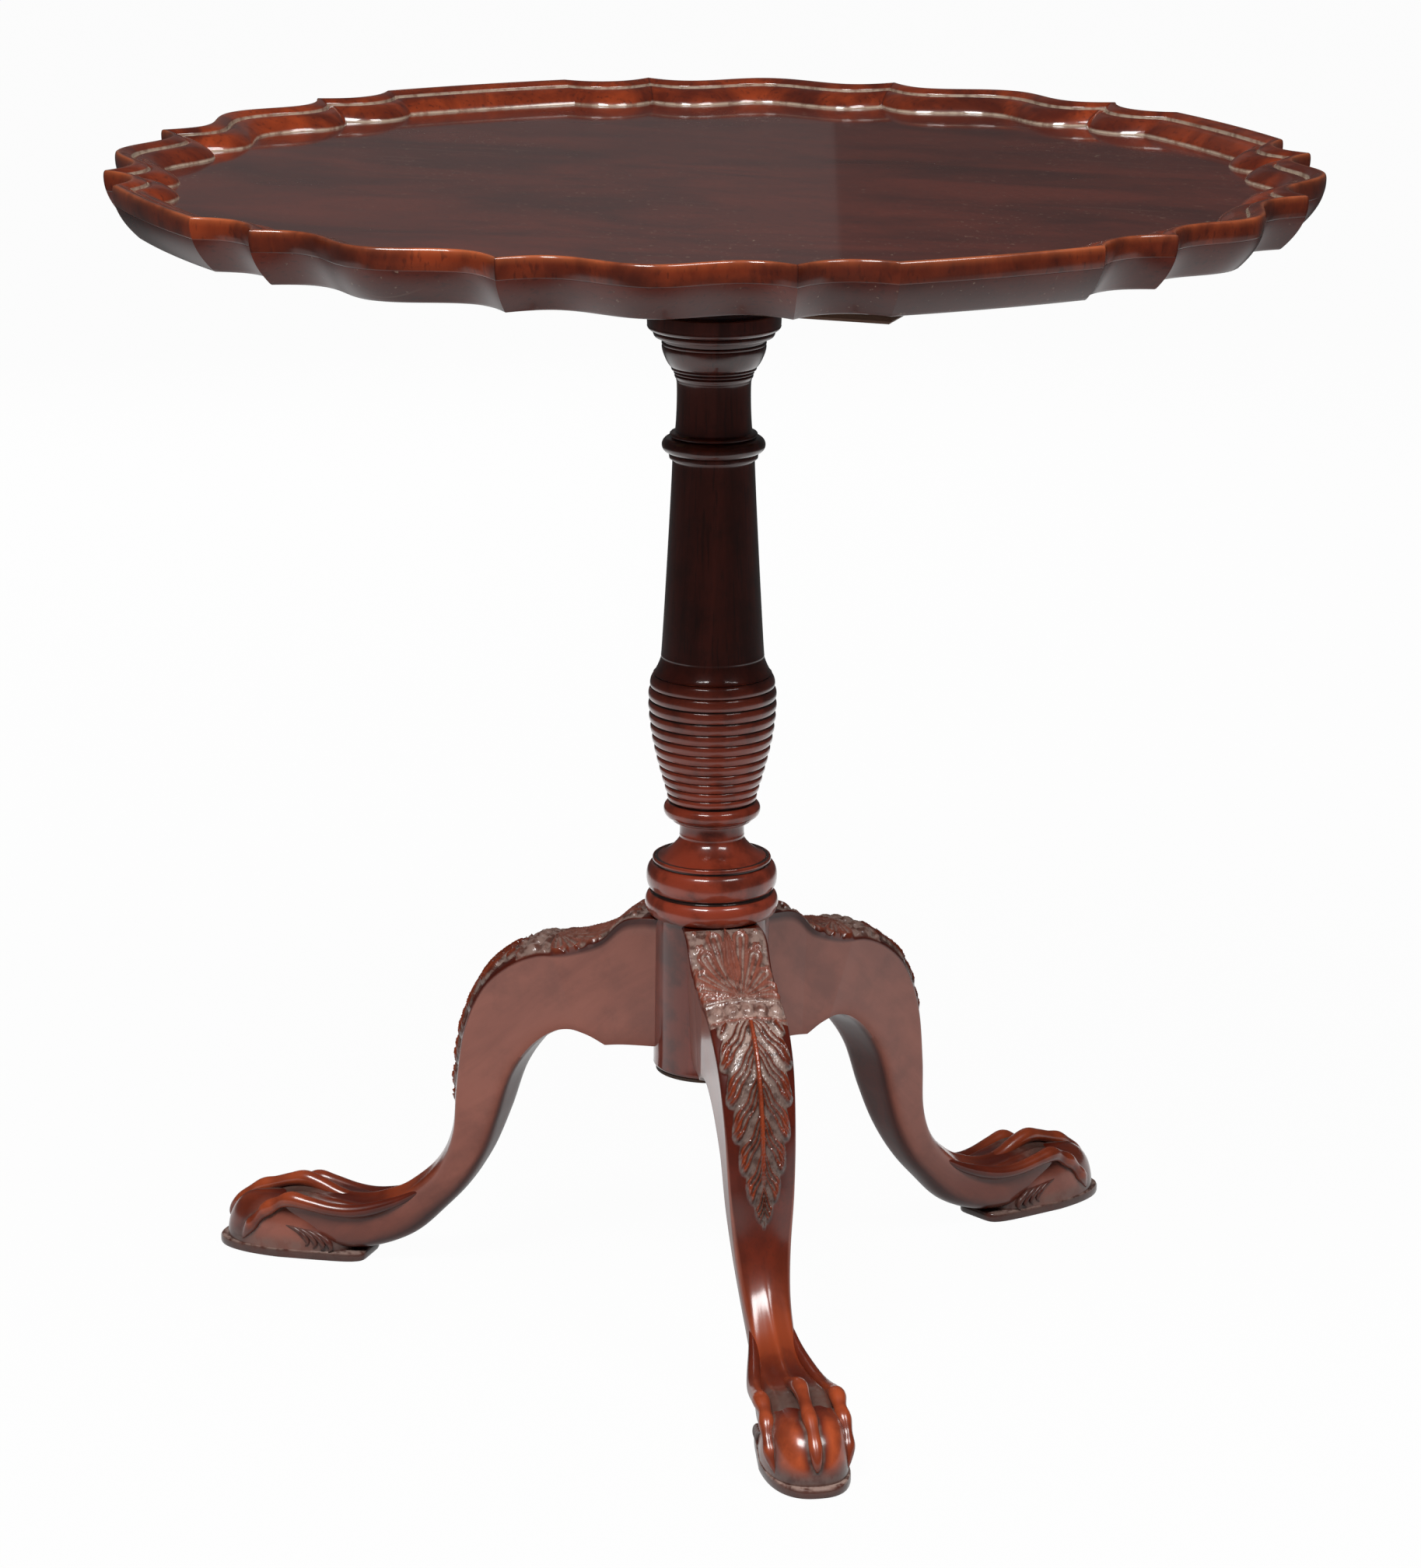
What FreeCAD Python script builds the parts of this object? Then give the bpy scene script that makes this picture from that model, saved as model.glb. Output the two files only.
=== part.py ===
import FreeCAD, Part
import math
import os

from FreeCAD import Vector

# Piecrust tilt-top tea table, in millimetres. The origin lies on the floor under the column's
# axis, +Z is up, and the top tilts about an axis along Y. One leg points along -X, and the other
# two stand 60 degrees either side of +X.

# Top: a round board with a scalloped edge, and a moulded rim glued on it in segments
table_height = 733.0
top_radius = 369.0
board_thickness = 20.0
rim_height = 13.0
rim_width = 29.5
edge_belly = 26.0
edge_sweep = 70.0
board_edge_inset = 1.0
edge_levels = 5
curve_points = 11

# Scallops: angles from the middle of a broad lobe, depths in from the top's radius
lobe_spacing = 90.0
first_lobe_angle = 45.0
broad_hollow = 2.5
inner_corner_angle = 10.0
outer_corner_angle = 18.9
short_hollow_depth = 14.0
deep_hollow_angle = 23.4
deep_hollow_depth = 16.0
corner_steepness = 2.2
round_lobe_angle = 31.5
long_hollow_angle = 40.5
long_hollow_depth = 17.5
prow_depth = 1.0
prow_sharpness = 2.0

# Rim moulding: insets from the edge and heights above the board
rim_swell_height = 6.0
rim_shoulder_inset = 1.2
rim_shoulder_drop = 2.0
rim_crest_inset = 4.5
rim_inner_inset = 8.0
rim_inner_drop = 1.5
rim_groove_inset = 11.0
rim_groove_height = 8.0
rim_bead_inset = 17.0
rim_bead_height = 8.4
rim_hollow_inset = 22.5
rim_hollow_height = 4.0

# Bearers, hinge block and pivots
bearer_length = 308.0
bearer_width = 36.0
bearer_height = 35.0
bearer_chamfer = 2.0
block_length = 180.0
block_width = 191.0
block_thickness = 30.0
block_clearance = 0.5
side_clearance = 0.5
pin_radius = 8.0
pin_depth = 45.0
pin_reach = 28.0
pin_running_clearance = 0.06
pin_seat_clearance = 0.05

# Turned column, its members named from the floor upwards
pillar_foot_height = 158.0
pillar_height = 99.5
pillar_radius = 36.4
pillar_foot_round = 3.0
half_round_cove = 1.0
half_round_height = 14.0
half_round_radius = 42.0
base_groove_height = 1.6
base_groove_radius = 36.6
base_torus_height = 17.6
base_torus_radius = 41.0
bell_height = 17.3
waist_radius = 20.6
waist_height = 10.0
ring_height = 12.0
ring_radius = 30.2
urn_height = 82.0
urn_foot_radius = 27.4
urn_radius = 40.2
urn_top_radius = 37.8
urn_belly_share = 0.8
urn_rings = 12
urn_ring_growth = 0.22
urn_ring_depth = 1.3
flare_height = 11.5
shaft_foot_radius = 32.4
shaft_top_radius = 25.4
collar_fillet_height = 4.5
collar_fillet_radius = 27.0
collar_height = 9.6
collar_radius = 32.1
collar_bead_height = 2.8
collar_bead_radius = 26.6
neck_height = 33.6
neck_radius = 23.1
cup_height = 25.4
cup_radius = 33.2
cup_middle_radius = 31.0
cap_fillet_height = 5.0
cap_fillet_radius = 36.8
cap_height = 11.5
cap_radius = 41.4
drum_height = 28.0
drum_radius = 36.0
tenon_radius = 22.0
tenon_clearance = 0.1

# How far a moulding of the column swells out, or hollows in, between its two edges
pillar_foot_swell = 0.8
half_round_swell = 4.6
base_torus_swell = 4.0
bell_hollow = 2.4
waist_hollow = 1.1
ring_swell = 5.0
flare_hollow = 1.8
collar_swell = 4.0
collar_bead_swell = 1.4
cup_swell = 3.1
cup_hollow = 1.6
cap_swell = 3.2

# Wedge that spreads the tenon
wedge_top = 4.0
wedge_foot = 1.5
wedge_depth = 24.0
wedge_clearance = 0.05

# Legs: stations out from the pillar's face and up from the floor
left_leg_angle = 180.0
leg_spacing_angle = 120.0
leg_root_top = 252.0
leg_root_bottom = 170.0
leg_root_width = 50.0
leg_knee_width = 45.0
leg_ankle_width = 30.0
knee_reach = 75.0
ankle_reach = 168.0
foot_width = 57.0
foot_height = 50.0
foot_length = 106.0
foot_reach = 305.6
pad_height = 6.0
dovetail_depth = 15.0
dovetail_neck = 16.0
dovetail_root = 23.0
dovetail_top_shoulder = 12.0
dovetail_clearance = 0.1
leg_scribe_gap = 0.1

# Leg's upper curve, knee to ankle: out from the pillar's face, down from the root's top
knee_curve = [
    (10, 1),
    (30, 11),
    (54, 19),
    (76, 22),
    (97, 32),
    (115, 50),
    (128, 80),
    (134, 118),
    (138, 153),
    (149, 178),
    (168, 197),
]
# Foot's upper curve, heel to toe: back from the tip, down from the foot's top
foot_curve = [
    (105, 11.5),
    (85, 11),
    (67, 3),
    (47, 0),
    (28, 7),
    (11, 22),
    (1, 36),
]
# Leg's lower curve, ankle to the cusp under the root: out from the pillar's face, up from the floor
under_curve = [
    (163, 22),
    (145, 40),
    (128, 59),
    (114, 82),
    (103, 110),
    (93, 140),
    (79, 161),
    (64, 173),
    (51, 176.5),
    (39, 174),
    (28, 168),
]
heel_slope = 6.0
toe_allowance = 3.0
root_ledge = 3.0

# Iron plate under the pillar
plate_thickness = 2.0
plate_margin = 1.4
plate_screw_circle = 27.0

# Brass slide bolt under the board, and its keeper on the block
catch_length = 66.0
catch_width = 30.0
catch_thickness = 1.6
catch_gap = 9.0
guide_length = 9.0
guide_wall = 2.0
guide_inset = 8.0
bolt_width = 11.0
bolt_height = 7.0
bolt_drop = 4.0
bolt_length = 70.0
bolt_clearance = 0.1
bolt_rest_gap = 1.8
bolt_throw = 9.0
knob_radius = 6.0
knob_stem_radius = 2.2
knob_face_radius = 2.6
knob_stem_length = 4.0
knob_height = 9.0
keeper_width = 38.0
keeper_height = 15.0
keeper_thickness = 1.6
keeper_hole_clearance = 0.8
mortise_spare = 3.0

# Wood screws: shank radius, head radius, length, and the slot in each head
screw_slot_width = 0.9
screw_slot_depth = 0.8
screw_fit = 0.05
bearer_screw = {"shank": 2.3, "head": 4.6, "length": 46.0}
plate_screw = {"shank": 1.8, "head": 3.6, "length": 18.0}
catch_screw = {"shank": 1.3, "head": 2.7, "length": 11.0}
keeper_screw = {"shank": 1.3, "head": 2.7, "length": 12.0}
bearer_screw_spacing = 120.0
bearer_screw_sink = 1.0
screw_edge_margin = 1.0

# Levels and places that follow from the sizes above
board_top = table_height - rim_height
board_bottom = board_top - board_thickness
block_top = board_bottom - block_clearance
block_bottom = block_top - block_thickness
block_end = block_length / 2
pivot_z = block_bottom + block_thickness / 2
pivot_x = block_end - block_thickness / 2
bearer_inner = block_width / 2 + side_clearance
bearer_bottom = board_bottom - bearer_height
leg_angles = {
    "leg_left": left_leg_angle,
    "leg_front": left_leg_angle + leg_spacing_angle,
    "leg_back": left_leg_angle - leg_spacing_angle,
}
foot_tip = pillar_radius + foot_reach
foot_heel = foot_tip - foot_length
catch_near = -block_end - catch_gap
catch_far = catch_near - catch_length
plate_face = board_bottom - catch_thickness
bolt_top = plate_face - bolt_drop
bolt_bottom = bolt_top - bolt_height
bolt_tip = -block_end - bolt_rest_gap
bolt_tail = bolt_tip - bolt_length
keeper_mid = bolt_top - bolt_height / 2
collar_foot = (
    block_bottom
    - drum_height
    - cap_height
    - cap_fillet_height
    - cup_height
    - neck_height
    - collar_bead_height
    - collar_height
    - collar_fillet_height
)


def edge_depth(angle):
    """How far the scalloped edge lies inside the top's radius, at an angle from a broad lobe."""
    away = abs(angle)
    half_spacing = lobe_spacing / 2
    if away <= inner_corner_angle:
        return broad_hollow * (1 - (away / inner_corner_angle) ** 2)
    if away <= outer_corner_angle:
        half_width = (outer_corner_angle - inner_corner_angle) / 2
        share = abs(away - inner_corner_angle - half_width) / half_width
        return short_hollow_depth * (1 - share**corner_steepness)
    if away <= deep_hollow_angle:
        share = (deep_hollow_angle - away) / (deep_hollow_angle - outer_corner_angle)
        return deep_hollow_depth * (1 - share**corner_steepness)
    if away <= round_lobe_angle:
        share = (away - deep_hollow_angle) / (round_lobe_angle - deep_hollow_angle)
        return deep_hollow_depth * (1 + math.cos(math.pi * share)) / 2
    if away <= long_hollow_angle:
        share = (away - round_lobe_angle) / (long_hollow_angle - round_lobe_angle)
        return long_hollow_depth * (1 - math.cos(math.pi * share)) / 2
    share = (away - long_hollow_angle) / (half_spacing - long_hollow_angle)
    return long_hollow_depth + (prow_depth - long_hollow_depth) * share**prow_sharpness


def edge_point(lobe, angle, inset, z):
    """A point on the scalloped edge, moved in by inset, at an angle from the lobe's middle."""
    radius = top_radius - edge_depth(angle) - inset
    bearing = math.radians(first_lobe_angle + lobe * lobe_spacing + angle)
    return Vector(radius * math.cos(bearing), radius * math.sin(bearing), z)


def spread(start, end, count):
    """Evenly spaced numbers from start to end."""
    return [start + (end - start) * step / (count - 1) for step in range(count)]


def lobe_corners():
    """Angles of the sharp corners of one lobe, from prow to prow."""
    prow = lobe_spacing / 2
    outer, inner = outer_corner_angle, inner_corner_angle
    return [-prow, -outer, -inner, inner, outer, prow]


def smooth_edge(points):
    """One smooth curve through the points."""
    curve = Part.BSplineCurve()
    curve.interpolate(points)
    return curve.toShape()


def edge_wire(inset, z):
    """The whole scalloped outline at one level."""
    corners = lobe_corners()
    edges = []
    for lobe in range(round(360 / lobe_spacing)):
        for start, end in zip(corners[:-1], corners[1:]):
            angles = spread(start, end, curve_points)
            edges.append(smooth_edge([edge_point(lobe, angle, inset, z) for angle in angles]))
    return Part.Wire(edges)


def box_between(low, high):
    """A box from its lowest corner to its highest."""
    size = Vector(*high) - Vector(*low)
    return Part.makeBox(size.x, size.y, size.z, Vector(*low))


def turned_about_z(shape, angle):
    """A copy of the shape, turned about the column's axis."""
    copy = shape.copy()
    copy.rotate(Vector(0, 0, 0), Vector(0, 0, 1), angle)
    return copy


def wood_screw(size, base, direction):
    """A countersunk wood screw with a slotted head, its head's face at base."""
    shank, head, length = size["shank"], size["head"], size["length"]
    cone_depth = head - shank
    outline = [
        Vector(0, 0, 0),
        Vector(head, 0, 0),
        Vector(shank, 0, cone_depth),
        Vector(shank, 0, length - 2 * shank),
        Vector(0, 0, length),
        Vector(0, 0, 0),
    ]
    screw = Part.Face(Part.makePolygon(outline)).revolve(Vector(0, 0, 0), Vector(0, 0, 1), 360)
    slot = box_between((-head, -screw_slot_width / 2, 0), (head, screw_slot_width / 2, screw_slot_depth))
    screw = screw.cut(slot)
    return placed(screw, base, direction)


def screw_hole(size, base, direction):
    """The room that a wood screw takes up, a fit wider than the screw."""
    wider = {
        "shank": size["shank"] + screw_fit,
        "head": size["head"] + screw_fit,
        "length": size["length"] + screw_fit,
    }
    outline = [
        Vector(0, 0, 0),
        Vector(wider["head"], 0, 0),
        Vector(wider["shank"], 0, wider["head"] - wider["shank"]),
        Vector(wider["shank"], 0, wider["length"]),
        Vector(0, 0, wider["length"]),
        Vector(0, 0, 0),
    ]
    hole = Part.Face(Part.makePolygon(outline)).revolve(Vector(0, 0, 0), Vector(0, 0, 1), 360)
    return placed(hole, base, direction)


def placed(shape, base, direction):
    """The shape, moved from the origin and the +Z direction to base and direction."""
    shape.Placement = FreeCAD.Placement(
        Vector(*base), FreeCAD.Rotation(Vector(0, 0, 1), Vector(*direction))
    )
    return shape


# Board, with its edge rounded under in level curves
def make_board():
    wires = []
    for step in range(edge_levels):
        angle = math.radians(edge_sweep * step / (edge_levels - 1))
        inset = board_edge_inset + edge_belly * (1 - math.cos(angle))
        drop = board_thickness * math.sin(angle) / math.sin(math.radians(edge_sweep))
        wires.append(edge_wire(inset, board_top - drop))
    return Part.makeLoft(wires, True, True)


# Rim: one moulding carried along the scalloped edge
def rim_section(lobe, angle):
    crest = rim_height
    profile = [
        (board_edge_inset, 0),
        (0, rim_swell_height),
        (rim_shoulder_inset, crest - rim_shoulder_drop),
        (rim_crest_inset, crest),
        (rim_inner_inset, crest - rim_inner_drop),
        (rim_groove_inset, rim_groove_height),
        (rim_bead_inset, rim_bead_height),
        (rim_hollow_inset, rim_hollow_height),
        (rim_width, 0),
    ]
    points = [edge_point(lobe, angle, inset, board_top + height) for inset, height in profile]
    return Part.makePolygon(points + points[:1])


def rim_stretch(lobe, start, end):
    sections = [rim_section(lobe, angle) for angle in spread(start, end, curve_points)]
    return Part.makeLoft(sections, True, False)


def make_rim():
    corners = lobe_corners()
    segments = {}
    for lobe in range(round(360 / lobe_spacing)):
        stretches = [rim_stretch(lobe, start, end) for start, end in zip(corners[:-1], corners[1:])]
        first_side, *broad, second_side = stretches
        segments[f"rim_broad_{lobe + 1}"] = broad[0].multiFuse(broad[1:]).removeSplitter()
        segments[f"rim_side_{2 * lobe + 1}"] = first_side
        segments[f"rim_side_{2 * lobe + 2}"] = second_side
    return segments


# Bearers, drilled for the pivots and the screws
def bearer_screw_places(side):
    y = side * (bearer_inner + bearer_width / 2)
    z = bearer_bottom + bearer_screw_sink
    return [(x, y, z) for x in (-bearer_screw_spacing, 0, bearer_screw_spacing)]


def make_bearer(side):
    near, far = sorted((side * bearer_inner, side * (bearer_inner + bearer_width)))
    bearer = box_between((-bearer_length / 2, near, bearer_bottom), (bearer_length / 2, far, board_bottom))
    lower_edges = [edge for edge in bearer.Edges if edge.BoundBox.ZMax < bearer_bottom + bearer_chamfer]
    bearer = bearer.makeChamfer(bearer_chamfer, lower_edges)
    pin_hole = Part.makeCylinder(
        pin_radius + pin_running_clearance,
        pin_reach + side_clearance,
        Vector(pivot_x, side * bearer_inner, pivot_z),
        Vector(0, side, 0),
    )
    bearer = bearer.cut(pin_hole)
    for x, y, z in bearer_screw_places(side):
        head = bearer_screw["head"] + screw_fit
        sink = Part.makeCylinder(head, bearer_screw_sink, Vector(x, y, bearer_bottom))
        bearer = bearer.cut(sink.fuse(screw_hole(bearer_screw, (x, y, z), (0, 0, 1))))
    return bearer


# Hinge block, its pivot end rounded about the pivots so that the board clears it
def make_block():
    half_width = block_width / 2
    block = box_between((-block_end, -half_width, block_bottom), (pivot_x, half_width, block_top))
    rounded_end = Part.makeCylinder(
        block_thickness / 2, block_width, Vector(pivot_x, -half_width, pivot_z), Vector(0, 1, 0)
    )
    block = block.fuse(rounded_end).removeSplitter()
    tenon_hole = Part.makeCylinder(
        tenon_radius + tenon_clearance, block_thickness, Vector(0, 0, block_bottom)
    )
    block = block.cut(tenon_hole)
    for side in (-1, 1):
        seat = Part.makeCylinder(
            pin_radius + pin_seat_clearance,
            pin_depth,
            Vector(pivot_x, side * (half_width - pin_depth), pivot_z),
            Vector(0, side, 0),
        )
        block = block.cut(seat)
    mortise_depth = bolt_throw + mortise_spare
    keeper_bottom = keeper_mid - keeper_height / 2
    recess = box_between(
        (-block_end, -keeper_width / 2, keeper_bottom),
        (-block_end + keeper_thickness, keeper_width / 2, keeper_bottom + keeper_height),
    )
    mortise = keeper_opening(-block_end, -block_end + mortise_depth)
    block = block.cut(recess).cut(mortise)
    for place in keeper_screw_places():
        block = block.cut(screw_hole(keeper_screw, place, (1, 0, 0)))
    return block


def make_pin(side):
    length = pin_depth + side_clearance + pin_reach
    start = side * (block_width / 2 - pin_depth)
    return Part.makeCylinder(pin_radius, length, Vector(pivot_x, start, pivot_z), Vector(0, side, 0))


# Column: a turned profile, drawn from the foot to the tenon
def turned_profile(stations):
    """Edges through (radius, height, bulge) stations; a bulge bends the edge before its station."""
    edges = []
    for (radius, z, _), (next_radius, next_z, bulge) in zip(stations[:-1], stations[1:]):
        start = Vector(radius, 0, z)
        end = Vector(next_radius, 0, next_z)
        if bulge == 0:
            edges.append(Part.LineSegment(start, end).toShape())
            continue
        along = end - start
        outward = Vector(along.z, 0, -along.x).normalize()
        middle = (start + end) * 0.5 + outward * bulge
        edges.append(Part.Arc(start, middle, end).toShape())
    return edges


def urn_envelope(share):
    """The urn's radius without its rings, from its foot at 0 to its top at 1."""
    if share <= urn_belly_share:
        rise = math.sin(math.pi / 2 * share / urn_belly_share)
        return urn_foot_radius + (urn_radius - urn_foot_radius) * rise
    fall = (share - urn_belly_share) / (1 - urn_belly_share)
    return urn_radius - (urn_radius - urn_top_radius) * fall ** 2


def column_stations():
    """Stations of the column's outline, from the foot of the pillar to the top of the tenon."""
    z = pillar_foot_height
    stations = [(0, z, 0), (pillar_radius - pillar_foot_round, z, 0)]
    stations.append((pillar_radius, z + pillar_foot_round, pillar_foot_swell))
    z += pillar_height
    stations.append((pillar_radius, z, 0))
    z += half_round_cove
    half_round_foot = half_round_radius - half_round_swell
    stations.append((half_round_foot, z, 0))
    z += half_round_height
    stations.append((half_round_foot, z, half_round_swell))
    stations.append((base_groove_radius, z, 0))
    z += base_groove_height
    stations.append((base_groove_radius, z, 0))
    torus_foot = base_torus_radius - base_torus_swell
    stations.append((torus_foot, z, 0))
    z += base_torus_height
    stations.append((torus_foot, z, base_torus_swell))
    z += bell_height
    stations.append((waist_radius, z, -bell_hollow))
    z += waist_height
    ring_foot = ring_radius - ring_swell
    stations.append((ring_foot, z, -waist_hollow))
    z += ring_height
    stations.append((ring_foot, z, ring_swell))
    stations.append((urn_envelope(0) - urn_ring_depth, z, 0))
    first_pitch = urn_height / urn_rings - urn_ring_growth * (urn_rings - 1) / 2
    for ring in range(1, urn_rings + 1):
        rise = first_pitch * ring + urn_ring_growth * ring * (ring - 1) / 2
        radius = urn_envelope(rise / urn_height) - urn_ring_depth
        stations.append((radius, z + rise, urn_ring_depth))
    z += urn_height + flare_height
    stations.append((shaft_foot_radius, z, -flare_hollow))
    z = collar_foot
    stations.append((shaft_top_radius, z, 0))
    z += collar_fillet_height
    stations.append((collar_fillet_radius, z, 0))
    collar_inner = collar_radius - collar_swell
    stations.append((collar_inner, z, 0))
    z += collar_height
    stations.append((collar_inner, z, collar_swell))
    bead_inner = collar_bead_radius - collar_bead_swell
    stations.append((bead_inner, z, 0))
    z += collar_bead_height
    stations.append((bead_inner, z, collar_bead_swell))
    stations.append((neck_radius, z, 0))
    z += neck_height
    stations.append((neck_radius, z, 0))
    z += cup_height / 2
    stations.append((cup_middle_radius, z, cup_swell))
    z += cup_height / 2
    stations.append((cup_radius, z, -cup_hollow))
    stations.append((cap_fillet_radius, z, 0))
    z += cap_fillet_height
    stations.append((cap_fillet_radius, z, 0))
    cap_inner = cap_radius - cap_swell
    stations.append((cap_inner, z, 0))
    z += cap_height
    stations.append((cap_inner, z, cap_swell))
    stations.append((drum_radius, z, 0))
    stations.append((drum_radius, block_bottom, 0))
    stations.append((tenon_radius, block_bottom, 0))
    stations.append((tenon_radius, block_top, 0))
    stations.append((0, block_top, 0))
    return stations


def turned_solid(stations):
    """A solid turned about +Z, from stations that start and end on the axis."""
    edges = turned_profile(stations)
    bottom, top = stations[0][1], stations[-1][1]
    edges.append(Part.makeLine(Vector(0, 0, top), Vector(0, 0, bottom)))
    return Part.Face(Part.Wire(edges)).revolve(Vector(0, 0, 0), Vector(0, 0, 1), 360)


def make_column():
    column = turned_solid(column_stations())
    column = column.cut(wedge_shape(wedge_clearance))
    for angle in leg_angles.values():
        column = column.cut(turned_about_z(dovetail(dovetail_clearance), angle))
    for place in plate_screw_places():
        column = column.cut(screw_hole(plate_screw, place, (0, 0, 1)))
    return column


def wedge_shape(clearance):
    """The wedge across the tenon's top, or the kerf that takes it."""
    top = wedge_top / 2 + clearance
    foot = wedge_foot / 2 + clearance
    low = block_top - wedge_depth - clearance
    reach = tenon_radius + tenon_clearance
    outline = [
        Vector(-foot, -reach, low),
        Vector(foot, -reach, low),
        Vector(top, -reach, block_top),
        Vector(-top, -reach, block_top),
        Vector(-foot, -reach, low),
    ]
    return Part.Face(Part.makePolygon(outline)).extrude(Vector(0, 2 * reach, 0))


def make_wedge():
    tenon = Part.makeCylinder(tenon_radius, wedge_depth, Vector(0, 0, block_top - wedge_depth))
    return wedge_shape(0).common(tenon)


# Legs: a side profile and a plan, each extruded, and the solid that both allow
def dovetail(clearance):
    """The tongue of a leg along +X, from the pillar's foot up, or with a clearance its slot."""
    neck = dovetail_neck / 2 + clearance
    root = dovetail_root / 2 + clearance
    inner = pillar_radius - dovetail_depth - clearance
    outer = pillar_radius + dovetail_depth
    slope = (root - neck) / (pillar_radius - inner)
    mouth = neck - slope * (outer - pillar_radius)
    top = leg_root_top - dovetail_top_shoulder + clearance
    outline = [
        Vector(inner, -root, pillar_foot_height),
        Vector(outer, -mouth, pillar_foot_height),
        Vector(outer, mouth, pillar_foot_height),
        Vector(inner, root, pillar_foot_height),
        Vector(inner, -root, pillar_foot_height),
    ]
    return Part.Face(Part.makePolygon(outline)).extrude(Vector(0, 0, top - pillar_foot_height))


def joined_lines(points):
    """Straight edges from each point to the next."""
    return [Part.makeLine(start, end) for start, end in zip(points[:-1], points[1:])]


def leg_side_face():
    """The leg seen from its side: out from the pillar along +X, and up from the floor."""
    face = pillar_radius
    upper = [Vector(face + out, 0, leg_root_top - down) for out, down in knee_curve]
    upper += [Vector(foot_tip - back, 0, foot_height - down) for back, down in foot_curve]
    past_tip = foot_tip + toe_allowance
    upper.append(Vector(past_tip, 0, pad_height))
    lower = [Vector(foot_heel - heel_slope, 0, pad_height)]
    lower += [Vector(face + out, 0, up) for out, up in under_curve]
    root_top = Vector(0, 0, leg_root_top)
    root_line = joined_lines([root_top, Vector(face + root_ledge, 0, leg_root_top), upper[0]])
    pad_line = joined_lines([upper[-1], Vector(past_tip, 0, 0), Vector(foot_heel, 0, 0), lower[0]])
    root_bottom = Vector(face, 0, leg_root_bottom)
    end_line = joined_lines([lower[-1], root_bottom, Vector(0, 0, leg_root_bottom), root_top])
    outline = root_line + [smooth_edge(upper)] + pad_line + [smooth_edge(lower)] + end_line
    return Part.Face(Part.Wire(outline))


def leg_plan_face():
    """The leg seen from above: its half width at stations out from the pillar's axis."""
    half_root, half_knee, half_ankle = leg_root_width / 2, leg_knee_width / 2, leg_ankle_width / 2
    half_foot = foot_width / 2
    knee_start = pillar_radius + knee_reach
    ankle = pillar_radius + ankle_reach
    half_widths = [
        (knee_start, half_root),
        (knee_start + (ankle - knee_start) / 4, half_knee),
        (knee_start + (ankle - knee_start) * 2 / 3, (half_knee + half_ankle) / 2),
        (ankle, half_ankle),
        (foot_heel - heel_slope, (half_ankle + half_foot) / 2 - heel_slope / 4),
        (foot_heel + foot_length / 8, half_foot * 0.93),
        (foot_heel + foot_length * 3 / 8, half_foot),
        (foot_heel + foot_length * 5 / 8, half_foot * 0.9),
        (foot_heel + foot_length * 7 / 8, half_foot * 2 / 3),
        (foot_tip, 0),
    ]
    right = [Vector(x, y, 0) for x, y in half_widths]
    left = [Vector(x, -y, 0) for x, y in reversed(half_widths[:-1])]
    root_corners = [Vector(0, -half_root, 0), Vector(0, half_root, 0)]
    lines = joined_lines([left[-1]] + root_corners + [right[0]])
    return Part.Face(Part.Wire([smooth_edge(right + left)] + lines))


def make_leg():
    """One leg along +X, scribed to the pillar, with its dovetail tongue."""
    side = leg_side_face()
    side.translate(Vector(0, -foot_width, 0))
    blank = side.extrude(Vector(0, 2 * foot_width, 0))
    leg = blank.common(leg_plan_face().extrude(Vector(0, 0, leg_root_top)))
    leg = leg.cut(Part.makeCylinder(pillar_radius + leg_scribe_gap, table_height))
    tongue = dovetail(0)
    in_pillar = tongue.common(turned_solid(column_stations()))
    low = (0, -dovetail_root, leg_root_bottom)
    high = (pillar_radius + dovetail_depth, dovetail_root, leg_root_top)
    in_root = tongue.common(box_between(low, high))
    return leg.fuse(in_pillar.fuse(in_root))


# Iron plate under the pillar, which closes the dovetail slots
def plate_screw_places():
    angles = [math.radians(angle + 180) for angle in leg_angles.values()]
    z = pillar_foot_height - plate_thickness
    return [(plate_screw_circle * math.cos(a), plate_screw_circle * math.sin(a), z) for a in angles]


def make_pillar_plate():
    plate = Part.makeCylinder(
        pillar_radius - pillar_foot_round + plate_margin,
        plate_thickness,
        Vector(0, 0, pillar_foot_height - plate_thickness),
    )
    for place in plate_screw_places():
        plate = plate.cut(screw_hole(plate_screw, place, (0, 0, 1)))
    return plate


# Slide bolt: a plate with two guides, the bolt that runs in them, and its keeper
def guide_starts():
    return (catch_near - guide_inset - guide_length, catch_far + guide_inset)


def catch_screw_places():
    y = catch_width / 2 - catch_screw["head"] - screw_edge_margin
    middle = (catch_near + catch_far) / 2
    ends = (middle - guide_length, middle + guide_length)
    return [(x, side * y, plate_face) for x in ends for side in (-1, 1)]


def make_catch_plate():
    half = catch_width / 2
    plate = box_between((catch_far, -half, plate_face), (catch_near, half, board_bottom))
    outer_half = bolt_width / 2 + bolt_clearance + guide_wall
    passage_half = bolt_width / 2 + bolt_clearance
    passage_floor = bolt_bottom - bolt_clearance
    for start in guide_starts():
        end = start + guide_length
        guide = box_between((start, -outer_half, passage_floor - guide_wall), (end, outer_half, plate_face))
        passage = box_between(
            (start, -passage_half, passage_floor), (end, passage_half, bolt_top + bolt_clearance)
        )
        plate = plate.fuse(guide.cut(passage))
    plate = plate.removeSplitter()
    for place in catch_screw_places():
        plate = plate.cut(screw_hole(catch_screw, place, (0, 0, 1)))
    return plate


def knob_place():
    return (guide_starts()[0] + guide_starts()[1] + guide_length) / 2


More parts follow.
